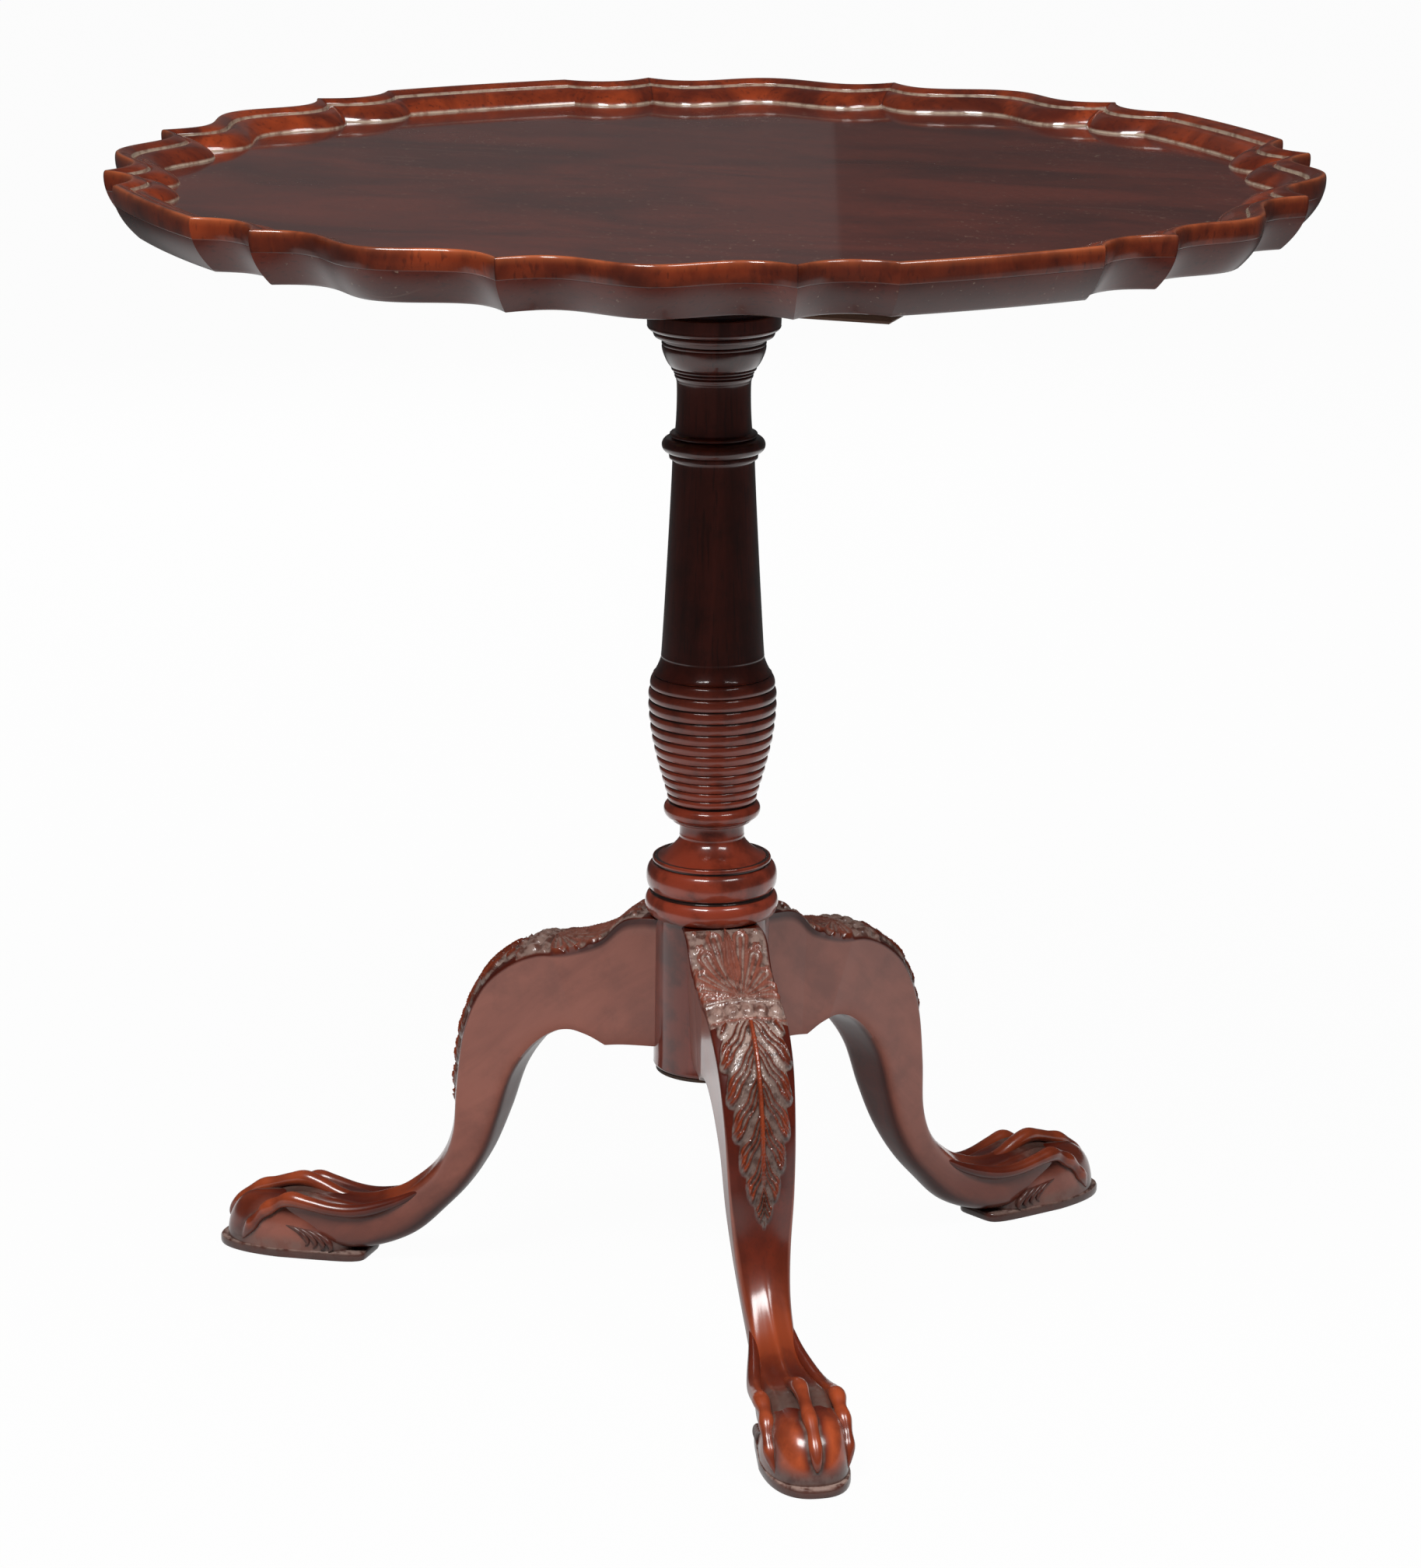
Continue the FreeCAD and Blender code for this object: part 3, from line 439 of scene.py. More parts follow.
# the rim: its section carried round the edge, wax caught in the groove and along the field
def rim():
    at = np.linspace(0, len(top["rimSection"]) - 1, top["sectionSteps"])
    inset, height = np.clip(smoothRun(top["rimSection"], at), 0, None).T
    groove, field = (inset - top["grooveAt"]) / top["waxHalf"], (inset - top["fieldAt"]) / top["waxHalf"]
    wax = np.exp(-groove ** 4) + np.exp(-field ** 2)
    # wear and a painted highlight along the outer edge of the crest
    wear = np.exp(-((inset - top["wornAndLitAt"]) / top["wornAndLitHalf"]) ** 2) * ramp(height, *top["wornAndLitRise"])
    joint = np.isin(np.abs(quarterAngle), [top["outerCorner"], top["prowAt"]])
    tags = {"joint": allRound(joint, len(inset)).T, "wax": allRound(wax, len(bearing)),
            "wear": allRound(wear, len(bearing))}
    return skin(edgeRings(inset, top["boardHigh"] + np.minimum(height, top["rimHigh"])), tags, True)


rimNodes = ["rim_broad_%d" % k for k in (1, 2, 3, 4)] + ["rim_side_%d" % k for k in range(1, 9)]
putPiece("boardTop", [board()], "top", ["top_board"], topWood, 30.0)
putPiece("piecrustRim", [rim()], "top", rimNodes, rimWood, 40.0)
print("top made")


column = {
    "start": (33.4, 158.0), "around": 96,
    # radius and level where each turned member ends, how far it swells or hollows, steps
    "foot": [(36.4, 161.0, 0.85, 6), (36.5, 257.4, 0.0, 6)],
    "base": [(37.6, 258.4, -0.3, 4), (37.8, 272.8, 4.2, 18), (37.4, 273.2, 0.0, 2), (37.2, 274.4, 0.0, 2),
             (37.0, 291.4, 4.0, 18), (36.0, 291.8, 0.0, 2), (36.0, 292.6, 0.0, 2), (36.9, 293.0, 0.0, 2),
             (36.5, 295.6, 0.5, 6), (20.4, 309.4, -3.2, 18), (20.3, 317.6, -0.2, 6), (20.8, 318.4, 0.0, 2),
             (24.6, 318.7, 0.0, 2), (25.0, 320.6, 0.3, 5), (25.6, 321.0, 0.0, 2), (27.0, 330.8, 4.0, 14),
             (25.8, 331.4, 0.0, 2)],
    # the urn's rings, then its envelope: foot, height of the swell, where it is fullest, how far it falls in
    "ringCount": 12, "ringPitch": 5.55, "ringGrowth": 0.225, "ringSwell": 1.5, "ringRound": 0.2,
    "ringSteps": 10, "urnFoot": 27.0, "urnHigh": 13.0, "urnFull": 0.82, "urnFall": 2.3, "urnPower": 1.05,
    "shaft": [(37.0, 413.6, 0.0, 2), (32.2, 424.8, -0.8, 10), (25.5, 548.6, -0.4, 20), (27.2, 549.8, -0.3, 5),
              (27.4, 553.0, 0.25, 5), (26.8, 553.5, 0.0, 2), (27.4, 562.9, 4.9, 16), (26.4, 563.4, 0.0, 2),
              (26.2, 565.8, 0.9, 6), (24.1, 566.4, 0.0, 2), (23.2, 598.4, -0.75, 16), (24.0, 600.4, -0.2, 4),
              (24.2, 601.0, 0.0, 2), (24.0, 602.0, 0.2, 4), (23.7, 602.4, 0.0, 2), (24.6, 602.9, 0.0, 2),
              (24.6, 604.2, 0.2, 4), (24.2, 604.7, 0.0, 2), (26.0, 605.2, 0.0, 2), (26.1, 607.0, 0.3, 5),
              (31.8, 620.6, 1.6, 12), (32.2, 622.2, 0.2, 5), (31.6, 622.7, 0.0, 2), (32.3, 624.4, 0.1, 3),
              (32.6, 625.2, 0.0, 2), (36.0, 625.8, 0.0, 2), (37.2, 629.2, 0.8, 8), (37.0, 629.8, 0.0, 2),
              (38.6, 630.2, 0.0, 2), (41.1, 632.8, 0.8, 6), (41.2, 640.6, 0.1, 5),
              (40.2, 641.5, 0.3, 4), (36.2, 642.0, 0.0, 2), (36.0, 669.2, 0.0, 4), (35.4, 669.5, 0.1, 3),
              (22.0, 669.5, 0.0, 3), (22.0, 699.4, 0.0, 3)],
    # dark wax and painted shade in the grooves: how far it looks up and down, the depth that fills, the
    # levels between
    "waxAndShadeReach": 3.0, "waxAndShadeFull": 0.9, "waxAndShadeLevels": (255, 642),
    # wear and painted light at levels: lighter low down where the lamps reach, darker up the shaft in the
    # top's shadow
    "rubbedAndLit": [(158, 0.35), (250, 0.35), (262, 1.0), (330, 0.9), (400, 0.6), (425, 0.0)],
}


# a turned profile: each member runs straight from the last end, plus swell*sqrt(1-(2t-1)^2) square to it
def turnedProfile(start, members):
    runs, (r0, z0) = [np.array([start])], start
    for r1, z1, swell, steps in members:
        t = (1 - np.cos(np.pi * np.linspace(0, 1, steps + 1)[1:])) / 2
        length = math.hypot(r1 - r0, z1 - z0)
        out = swell * np.sqrt(np.clip(1 - (2 * t - 1) ** 2, 0, 1))
        runs.append(np.stack([r0 + (r1 - r0) * t + out * (z1 - z0) / length,
                              z0 + (z1 - z0) * t - out * (r1 - r0) / length], -1))
        r0, z0 = r1, z1
    return np.vstack(runs)


# the urn's rings: pitch grows upward, the envelope rises as a sine and falls in at the top
def urnRings():
    count, full, swell = column["ringCount"], column["urnFull"], column["ringSwell"]
    heights = [column["ringPitch"] * k + column["ringGrowth"] * k * (k - 1) / 2 for k in range(1, count + 1)]
    rows = []
    for height in heights:
        share = height / heights[-1]
        rise = math.sin(math.pi / 2 * min(share / full, 1.0)) ** column["urnPower"]
        fall = column["urnFall"] * max((share - full) / (1 - full), 0.0) ** 2
        radius = column["urnFoot"] + column["urnHigh"] * rise - fall - swell
        level = column["base"][-1][1] + height
        rows.append((radius, level, swell + column["ringRound"], column["ringSteps"]))
    return rows


# the column turned from its profile; dark wax and painted shade lie where that is nearer the axis than what
# is close above and close below; wear and painted light follow the level
def turnedColumn():
    members = column["foot"] + column["base"] + urnRings() + column["shaft"]
    radius, level = turnedProfile(column["start"], members).T
    around = column["around"]
    spin, wide = circle(around), radius[:, None]
    rings = np.stack([wide * np.cos(spin), wide * np.sin(spin), allRound(level, around)], -1)
    apart = level[None, :] - level[:, None]
    above = np.where((apart >= 0) & (apart < column["waxAndShadeReach"]), radius[None, :], 0).max(1)
    below = np.where((apart <= 0) & (apart > -column["waxAndShadeReach"]), radius[None, :], 0).max(1)
    low, high = column["waxAndShadeLevels"]
    # dark wax and painted shade in the grooves
    wax = ramp(np.minimum(above, below) - radius, 0, column["waxAndShadeFull"]) * (level > low) * (level < high)
    # wear and painted light: lighter low down where the lamps reach, darker up in the top's shadow
    wear = np.interp(level, *np.array(column["rubbedAndLit"]).T)
    return skin(rings, {"wax": allRound(wax, around), "wear": allRound(wear, around)})


putPiece("turnedColumn", [turnedColumn()], "pedestal", ["column"], columnWood, 42.0)
print("column made")


leg = {
    "bearings": {"leg_left": 180.0, "leg_front": -60.0, "leg_back": 60.0},
    # outward reach and level of the crown line, then of the under line
    "crown": [(22.0, 258.0), (48.0, 255.6), (66.4, 241.6), (90.4, 233.4), (112.4, 230.4), (133.4, 220.0),
              (151.4, 202.0), (164.4, 172.0), (170.4, 134.0), (174.4, 99.0), (185.4, 74.0), (204.4, 55.0),
              (220.0, 46.0), (237.0, 41.0), (257.0, 41.2), (275.0, 42.8), (288.0, 40.6), (300.0, 36.5)],
    "under": [(22.0, 170.4), (50.0, 169.5), (64.4, 168.0), (76.0, 174.0), (88.0, 176.5), (101.0, 172.5),
              (116.0, 160.0), (130.0, 139.0), (140.0, 109.0), (150.4, 82.0), (165.0, 58.0), (183.0, 38.0),
              (200.0, 22.0), (219.0, 12.0), (240.0, 7.0), (262.0, 8.0), (280.0, 10.0), (294.0, 12.0)],
    # half width, squareness of the section, crown height above the side edges
    "build": [(24.5, 30, 0.0), (26.0, 30, 0.3), (26.0, 30, 2.5), (25.5, 28, 4.5), (25.0, 26, 5.0),
              (24.5, 24, 5.5), (23.6, 19, 6.0), (22.4, 12, 6.5), (21.0, 7.5, 6.5), (18.5, 4.4, 6.5),
              (16.2, 3.1, 6.0), (15.0, 2.6, 5.0), (15.0, 2.5, 3.5), (17.5, 2.7, 2.5), (21.0, 3.4, 2.0),
              (22.5, 4.0, 2.0), (21.5, 3.6, 2.4), (18.0, 2.8, 3.0)],
    # rings along the leg, and steps across the top, down a side and across the under face
    "rings": 480, "fineSteps": 3000, "sectionSteps": (92, 20, 10),
    "grainSlope": math.radians(40.0), "taper": 0.13, "cuspRow": 2,
    # where the length along the crown starts; the lip under the carved top, and the reach over which it fades
    "alongFrom": 36.5, "lip": 3.0, "lipOut": (100.0, 60.0),
    # ridges that run down into the toes: the reach over which they rise, then their shape
    "ridgeOut": (176.0, 221.0), "ridgeTall": 1.9, "ridgeWide": 3.0, "ridgeApart": (10.0, 14.5),
    # dust and painted shade on the instep by reach, painted shade by length along the crown, the rubbed
    # ankle, dust about the beads
    "instepOut": (252.0, 274.0), "paintedShadeAlong": (112.0, 147.0), "ankleAt": 205.0, "ankleHalf": 22.0,
    "beadDust": 10.0,
}

carving = {
    # the fan on the root: leaves spring from one foot towards these tips (along, across), a pointed leaf in
    # the middle from its foot to its tip, and round flowers with their radius
    "fanFoot": (72.0, 0.0), "fanTips": [(15.0, 8.5), (28.0, 15.5), (42.0, 19.5), (55.0, 21.5), (66.0, 20.5)],
    "fanFrom": 1.0, "fanWide": 5.4, "fanTall": 3.2, "spear": (54.0, 5.0), "spearHalf": 5.6, "spearTall": 3.52,
    "flowers": [(21.0, 18.0, 3.9), (8.5, 10.5, 3.0), (36.0, 22.6, 2.4), (8.0, 19.5, 2.2)], "flowerTall": 2.8,
    # a fillet, a row of beads and a wavy edge between fan and leaf: place along, half width, height
    "fillet": (76.0, 1.7, 1.8), "beadAt": 85.0, "beads": [-19.0, -9.5, 0.0, 9.5, 19.0],
    "beadHalf": (6.2, 4.4), "beadTall": 3.4, "edge": (94.0, 1.4, 2.2), "edgeWave": 1.8, "edgePitch": 9.5,
    "bandHalf": 24.0, "groundEdge": (25.0, 23.5),
    # the leaf down the knee: half width along it, then its leaflets and vein
    "leafHalf": [(97, 20), (110, 23), (128, 22.5), (146, 21), (164, 19), (182, 16), (198, 12.5), (212, 8.5),
                 (222, 4.5), (229, 0.5)],
    "leafletPitch": 6.2, "leafletSpread": 0.0593, "lobeLeaflets": 4, "leafTall": 4.2, "chisel": 0.22,
    "veinFrom": 98.0, "veinFade": (226.0, 176.0), "veinHalf": 1.7,
}
leafFrom = carving["leafHalf"][0][0]


# one carved leaf of the fan: a flute with raised edges about the line from foot to tip, its width w growing
# towards the round tip; its height is a ridge at 0.75 w, tall*exp(-((d/w-0.75)/0.3)^2), over a low bed
def fanLeaf(along, side, tip):
    foot = carving["fanFoot"]
    run = np.array(tip) - np.array(foot)
    t = np.clip(((along - foot[0]) * run[0] + (side - foot[1]) * run[1]) / (run @ run), 0, 1)
    away = np.hypot(along - foot[0] - t * run[0], side - foot[1] - t * run[1])
    share = away / (carving["fanWide"] * (0.25 + 0.75 * t ** 1.2))
    ridge = np.exp(-((share - 0.75) / 0.3) ** 2)
    bed = 0.3 * np.clip(1.1 - share, 0, 1) + 0.45 * np.exp(-(share / 0.28) ** 2)
    return carving["fanTall"] * (0.6 + 0.4 * t) * np.maximum(ridge, bed) * (share < 1.3)


# the pointed leaf: half width as sin(pi*t^0.65) from foot to tip, edges raised above a hollow, a vein between
def spearLeaf(along, side):
    foot, tip = carving["spear"]
    t = ramp(along, foot, tip)
    share = side / (carving["spearHalf"] * np.sin(np.pi * t ** 0.65) + 0.05)
    body = 0.45 + 0.55 * np.exp(-((share - 0.7) / 0.25) ** 2) + 0.4 * np.exp(-(share / 0.2) ** 2)
    return carving["spearTall"] * body * ramp(share, 1.1, 0.85) * (along > tip) * (along < foot)


# a flower: a dome with five petals, radius r, height tall*sqrt(1-(d/r)^2) ridged by cos(5a)
def flower(along, side, middle):
    du, dy = along - middle[0], side - middle[1]
    petals = 0.82 + 0.18 * np.cos(5 * np.arctan2(dy, du))
    return carving["flowerTall"] * petals * np.sqrt(np.clip(1 - (du ** 2 + dy ** 2) / middle[2] ** 2, 0, 1))


# the long leaf: flutes follow curves that leave the vein and spread, s - (y/k)^0.625 constant, with thin
# ridges between them; four make a lobe, cut off from the next by a deep gap, with its tip raised
def longLeaf(along, across):
    side = np.abs(across)
    starts, halves = np.array(carving["leafHalf"], float).T
    half = np.interp(along, starts, halves, left=0.0, right=0.0)
    sway = 0.16 * np.sin(along * 0.31 + side * 0.22)
    flow = (along - leafFrom - (side / carving["leafletSpread"]) ** 0.625) / carving["leafletPitch"] + sway
    ridge = np.abs(2 * (flow % 1.0) - 1) ** 1.5
    share = (flow / carving["lobeLeaflets"]) % 1.0
    lobe = np.clip(5.5 * np.minimum(share, 1 - share), 0, 1) ** 0.7
    edge = half * (0.80 + 0.20 * np.sin(np.pi * share))
    inside = ramp(edge - side, 0, 1.5) ** 0.6
    tip = np.exp(-((side - 0.82 * edge) / (0.15 * half + 0.3)) ** 2)
    body = (0.16 + 0.62 * ridge) * lobe + 0.45 * tip * lobe * np.sin(np.pi * share)
    dome = 1.0 - 0.25 * (side / halves.max()) ** 2
    vein = 0.9 * np.exp(-(side / carving["veinHalf"]) ** 4) * ramp(along, *carving["veinFade"])
    vein = vein * (along > carving["veinFrom"])
    height = carving["leafTall"] * np.maximum(inside * body * dome, vein)
    return height, ramp(edge - side, -0.6, 0.6) * (half > 0)


# a band across the top at a place along it, tall*exp(-(d/half)^4)
def band(along, side, place, half, tall):
    return tall * np.exp(-((along - place) / half) ** 4) * (side < carving["bandHalf"])


# the carving on a leg's top: its height, and the share of the ground that lies within it; beads are
# tall*sqrt(1-d^2), chisel marks two crossing waves
def carvedHeight(along, across):
    side = np.abs(across)
    heights = [fanLeaf(along, side, tip) for tip in carving["fanTips"]]
    heights.append(spearLeaf(along, side))
    heights += [flower(along, side, middle) for middle in carving["flowers"]]
    heights.append(band(along, side, *carving["fillet"]))
    longHalf, crossHalf = carving["beadHalf"]
    for bead in carving["beads"]:
        far = ((along - carving["beadAt"]) / longHalf) ** 2 + ((across - bead) / crossHalf) ** 2
        heights.append(carving["beadTall"] * np.sqrt(np.clip(1 - far, 0, 1)))
    wave = carving["edgeWave"] * np.abs(np.cos(np.pi * across / carving["edgePitch"]))
    heights.append(band(along - wave, side, *carving["edge"]))
    leafHeight, leafGround = longLeaf(along, across)
    fanGround = (along > carving["fanFrom"]) * (along < leafFrom) * ramp(side, *carving["groundEdge"])
    ground = np.maximum(leafGround, fanGround)
    marks = carving["chisel"] * np.sin(1.7 * along + 2.1 * across) * np.sin(0.9 * along - 1.3 * across)
    return np.maximum(np.maximum(np.max(heights, 0), leafHeight) + marks * ground, 0), ground


# the leg: square samples drawn to a superellipse round the middle of crown and under line, narrower below,
# the top crowned as a parabola and raised by the carving; qx and qz are shares of the half width and height
def legBody():
    fine = np.linspace(0, len(leg["crown"]) - 1, leg["fineSteps"])
    fineCrown = smoothRun(leg["crown"], fine)
    lengths = np.hstack([[0], np.cumsum(np.hypot(*np.diff(fineCrown, axis=0).T))])
    cusp = leg["cuspRow"]
    at = np.interp(np.linspace(0, lengths[-1], leg["rings"]), lengths, fine)
    at = np.sort(np.append(at, cusp))
    crown = smoothRun(leg["crown"], at)
    under = np.vstack([smoothRun(leg["under"][:cusp + 1], at[at <= cusp]),
                       smoothRun(leg["under"][cusp:], at[at > cusp] - cusp)])
    half, square, crownHigh = smoothRun(leg["build"], at).T[:, :, None]
    along = (np.interp(at, fine, lengths) - np.interp(leg["alongFrom"], fineCrown[:, 0], lengths))[:, None]
    topRow, sideRow, underRow = (np.linspace(1, -1, n, endpoint=False) for n in leg["sectionSteps"])
    sx = np.hstack([-topRow, np.ones(len(sideRow)), underRow, -np.ones(len(sideRow))])
    sz = np.hstack([np.ones(len(topRow)), sideRow, -np.ones(len(underRow)), -sideRow])
    size = (np.abs(sx) ** square + np.abs(sz) ** square) ** (1 / square)
    qx, qz = sx / size, sz / size
    middle, reach = (crown + under) / 2, (crown - under) / 2
    lift = unit(reach)
    out = crown[:, :1]
    lip = leg["lip"] * ramp(out, *leg["lipOut"]) * ramp(qz, 0.93, 0.89)
    across = qx * (half * (1 - leg["taper"] * (1 - qz) / 2) - lip)
    height, ground = carvedHeight(along + 0 * across, across)
    near = ramp(out, *leg["ridgeOut"])
    apart = np.interp(out, leg["ridgeOut"], leg["ridgeApart"])
    ridges = [np.exp(-((across - line) / leg["ridgeWide"]) ** 2) for line in (-apart, 0 * apart, apart)]
    ridge = near * np.max(ridges, 0) * ramp(qz, 0.3, 0.6)
    topShare = ramp(qz, 0.90, 0.95)
    rise = height * topShare + leg["ridgeTall"] * ridge - crownHigh * qx ** 2 * np.clip(qz, 0, 1) ** 4
    u = middle[:, :1] + reach[:, :1] * qz + lift[:, :1] * rise
    z = middle[:, 1:] + reach[:, 1:] * qz + lift[:, 1:] * rise
    marks = legMarks(out, along, np.abs(qx), qz, height, ground * topShare, topShare, ridge, near)
    return np.stack([u, across, z], -1), marks


# a leg's tags: pale dust in the carving, more on the fan as a painted sheen, painted shade down the leaf and
# on the instep, rubbed heights and ankle, dry sides with a painted sheen, a dull underside
def legMarks(out, along, wide, qz, height, ground, topShare, ridge, near):
    instep = ramp(out, *leg["instepOut"]) * ramp(qz, 0.4, 0.7)
    # the fan's ground keeps more pale dust, partly a painted sheen where it faces up to the lamps
    fanDustAndSheen, leafDust = np.clip(1.4 - height / 1.9, 0.28, 0.88), np.clip(1.6 - height / 1.8, 0.12, 1)
    dusty = np.where(along < leafFrom, fanDustAndSheen, leafDust)
    dusty = np.where(np.abs(along - carving["beadAt"]) < leg["beadDust"], 0.8, dusty)
    ankle = np.exp(-((out - leg["ankleAt"]) / leg["ankleHalf"]) ** 2) * ramp(qz, 0.2, 0.6)
    wear = 0.5 * ramp(height, 1.3, 3.9) * topShare + 0.15 * ridge + 0.48 * ankle
    dry = ramp(qz, 0.9, 0.85) * ramp(wide, 0.8, 0.95) * (1 - 0.5 * near)
    return {"wax": np.maximum(ground * dusty, 0.8 * instep),
            "soot": np.maximum(0.72 * ramp(along, *leg["paintedShadeAlong"]), instep),
            "wear": np.clip(wear, 0, 1),
            "dry": np.maximum(dry, 0.7 * ground * (along < leafFrom)),
            "dull": ramp(qz, -0.6, -0.9) * ramp(wide, 1.04, 0.94)}


foot = {
    # reach of its middle, then the plans of ball and pad: lengths in front and behind, half width, powers in
    # front and behind
    "middle": 290.0, "ballPlan": (44.0, 46.0, 25.4, (2.5, 4.0)), "padPlan": (49.4, 56.0, 26.2, (2.5, 7.0)),
    # the ball's levels, the last angle of its sections, their spread out and across and their rise
    "ballLow": 5.0, "ballHigh": 39.2, "ballLast": 87.0, "ballSpread": 0.55, "ballSide": 0.72, "ballLift": 0.9,
    "rubbedAndLit": {"left": 0.3, "front": 1.0, "back": 0.3},
    # rows of the pad's edge: share of the plan, level
    "padRows": [(0.5, 0.0), (0.965, 0.0), (0.99, 0.4), (1.0, 1.4), (1.0, 4.6), (0.985, 5.7), (0.96, 6.0),
                (0.5, 6.0)],
    "rearNarrow": 0.26, "rearReach": 55.0,
    # toes as out, across, up, thickness
    "midToe": [(206, 0, 50.0, 2.0), (218, 0, 42.5, 3.4), (230, 0, 37.4, 4.2), (243, 0, 36.6, 4.6),
               (257, 0, 39.4, 4.8), (270, 0, 44.6, 5.0), (281, 0, 47.4, 5.2), (291, 0, 45.6, 4.2),
               (301, 0, 42.4, 4.0), (310, 0, 39.4, 4.7), (318.5, 0, 34.2, 4.0), (325.5, 0, 28.4, 4.4),
               (330.8, 0, 22.6, 3.6), (333.2, 0, 17.9, 2.4), (333.4, 0, 14.6, 0.9)],
    "sideToe": [(196, 12.0, 52.0, 1.8), (210, 13.6, 44.5, 3.2), (226, 16.5, 38.6, 4.2),
                (240, 19.3, 35.8, 4.4), (254, 21.4, 36.0, 4.4), (270, 22.8, 38.8, 4.6),
                (281, 23.0, 40.2, 5.2), (290, 22.6, 37.0, 4.0), (297.5, 23.2, 32.6, 4.8),
                (304, 23.8, 26.4, 3.4), (309.5, 23.4, 19.8, 4.3), (314, 22.2, 13.0, 2.6),
                (316.5, 21.2, 8.5, 0.9)],
    "rearToe": [(214, 0, 18.0, 3.0), (228, 0, 17.0, 5.5), (239, 0, 17.5, 6.2), (244, 0, 11.0, 4.6),
                (241, 0, 6.5, 2.4)],
    # the small tuft behind each side toe: strands, how far each lies behind the one before, and the first one
    "strands": 4, "strandStep": (-5.2, -0.6, -0.9, 0.06), "tuftTags": {"wax": 0.45, "soot": 0.7, "dull": 1.0},
    "strand": [(285, 23.4, 22.0, 0.4), (278, 23.3, 20.0, 1.4), (272.5, 23.1, 16.0, 1.8),
               (270, 23.0, 12.0, 1.4), (271.5, 23.2, 9.0, 0.4)],
}


# a toe: circles square to its path, thickness along it as given; the thick knuckles are rubbed
def toe(rows, side=1.0, count=72, around=18):
    path = smoothRun(np.array(rows, float) * (1, side, 1, 1), np.linspace(0, len(rows) - 1, count))
    spine, thick = path[:, :3], path[:, 3]
    ahead = unit(np.gradient(spine, axis=0))
    wide = unit(np.cross(ahead, (0.0, 1.0, 0.0)))
    flat = np.cross(wide, ahead)
    angle = circle(around)[None, :, None]
    circles = wide[:, None] * np.cos(angle) + flat[:, None] * np.sin(angle)
    wear = np.clip((thick - 3.2) / 1.6, 0.4, 0.8) * np.clip((path[:, 0] - 230) / 60, 0.15, 1)
    return spine[:, None] + thick[:, None, None] * circles, {"wear": allRound(wear, around)}


# the strands of both tufts: thin toes with tags of their own
def tufts():
    first, step = np.array(foot["strand"]), np.array(foot["strandStep"])
    strands = [toe(first + k * step, side, 28, 12)[0] for k in range(foot["strands"]) for side in (1.0, -1.0)]
    return [(rings, {tag: np.full(rings.shape[:2], value) for tag, value in foot["tuftTags"].items()})
            for rings in strands]


# the foot's plan: a superellipse about its middle, rounder in front, drawn in towards the rear
def footPlan(angle, front, back, half, powers):
    n = np.where(np.cos(angle) > 0, *powers)
    size = (np.abs(np.cos(angle)) ** n + np.abs(np.sin(angle)) ** n) ** (-1 / n)
    u = np.where(np.cos(angle) > 0, front, back) * size * np.cos(angle)
    return u, half * size * np.sin(angle) * (1 - foot["rearNarrow"] * ramp(-u, 0, foot["rearReach"]))


# the ball: its plan shrinks as cos^0.55 of the height angle, less across, while it rises as sin^0.9; wax,
# darkened as painted shade, lies along the toes and low down, the front between the toes is rubbed, the sides
# are dry
def ball(toes, around=96, levels=34):
    angle = circle(around)
    planU, planY = footPlan(angle, *foot["ballPlan"])
    rise = np.radians(np.linspace(0, foot["ballLast"], levels))[:, None]
    spread = np.cos(rise) ** foot["ballSpread"]
    z = foot["ballLow"] + (foot["ballHigh"] - foot["ballLow"]) * np.sin(rise) ** foot["ballLift"] + 0 * angle
    rings = np.stack([foot["middle"] + planU * spread, planY * spread ** foot["ballSide"], z], -1)
    spines = np.vstack([circles.mean(1) for circles in toes])
    thick = np.hstack([np.linalg.norm(circles[:, 0] - circles.mean(1), axis=1) for circles in toes])
    far = (np.linalg.norm(rings[:, :, None] - spines, axis=-1) - thick).min(-1)
    panel = ramp(np.abs(np.sin(angle)), 0.8, 0.95) * np.clip(1.4 - rise, 0, 1)
    return rings, {"wax": np.maximum(0.75 * ramp(far, 2.86, 0.66), 0.62 * ramp(z, 19, 10)),
                   "wear": ramp(rings[..., 0], 296, 318) * ramp(far, 1.5, 6.0) * ramp(z, 9, 19),
                   "soot": 0.8 + 0 * z, "dry": panel, "dull": 0.3 * panel}


# the pad: the foot's plan with eased edges, dusty along its top edge, with painted shade down its side
def pad(around=96):
    angle = circle(around)
    planU, planY = footPlan(angle, *foot["padPlan"])
    share, level = (allRound(values, around) for values in np.array(foot["padRows"]).T)
    side = ramp(level, 5.2, 4.7)
    wax = np.maximum(0.75 * np.exp(-((level - 5.9) / 0.4) ** 2), 0.6 * side)
    return np.stack([foot["middle"] + planU * share, planY * share, level], -1), {"wax": wax, "soot": side}


# a leg's skin: out, across and up turned to the leg's bearing about the column, with its grain falling
# outwards at a slope, out and up turned by that angle
def legSkin(rings, tags, turn):
    u, y, z = rings[..., 0], rings[..., 1], rings[..., 2]
    c, s = math.cos(leg["grainSlope"]), math.sin(leg["grainSlope"])
    grain = np.stack([u * c - z * s, y, u * s + z * c], -1) * mm
    c, s = math.cos(math.radians(turn)), math.sin(math.radians(turn))
    return skin(np.stack([u * c - y * s, u * s + y * c, z], -1), dict(tags, grain=grain))


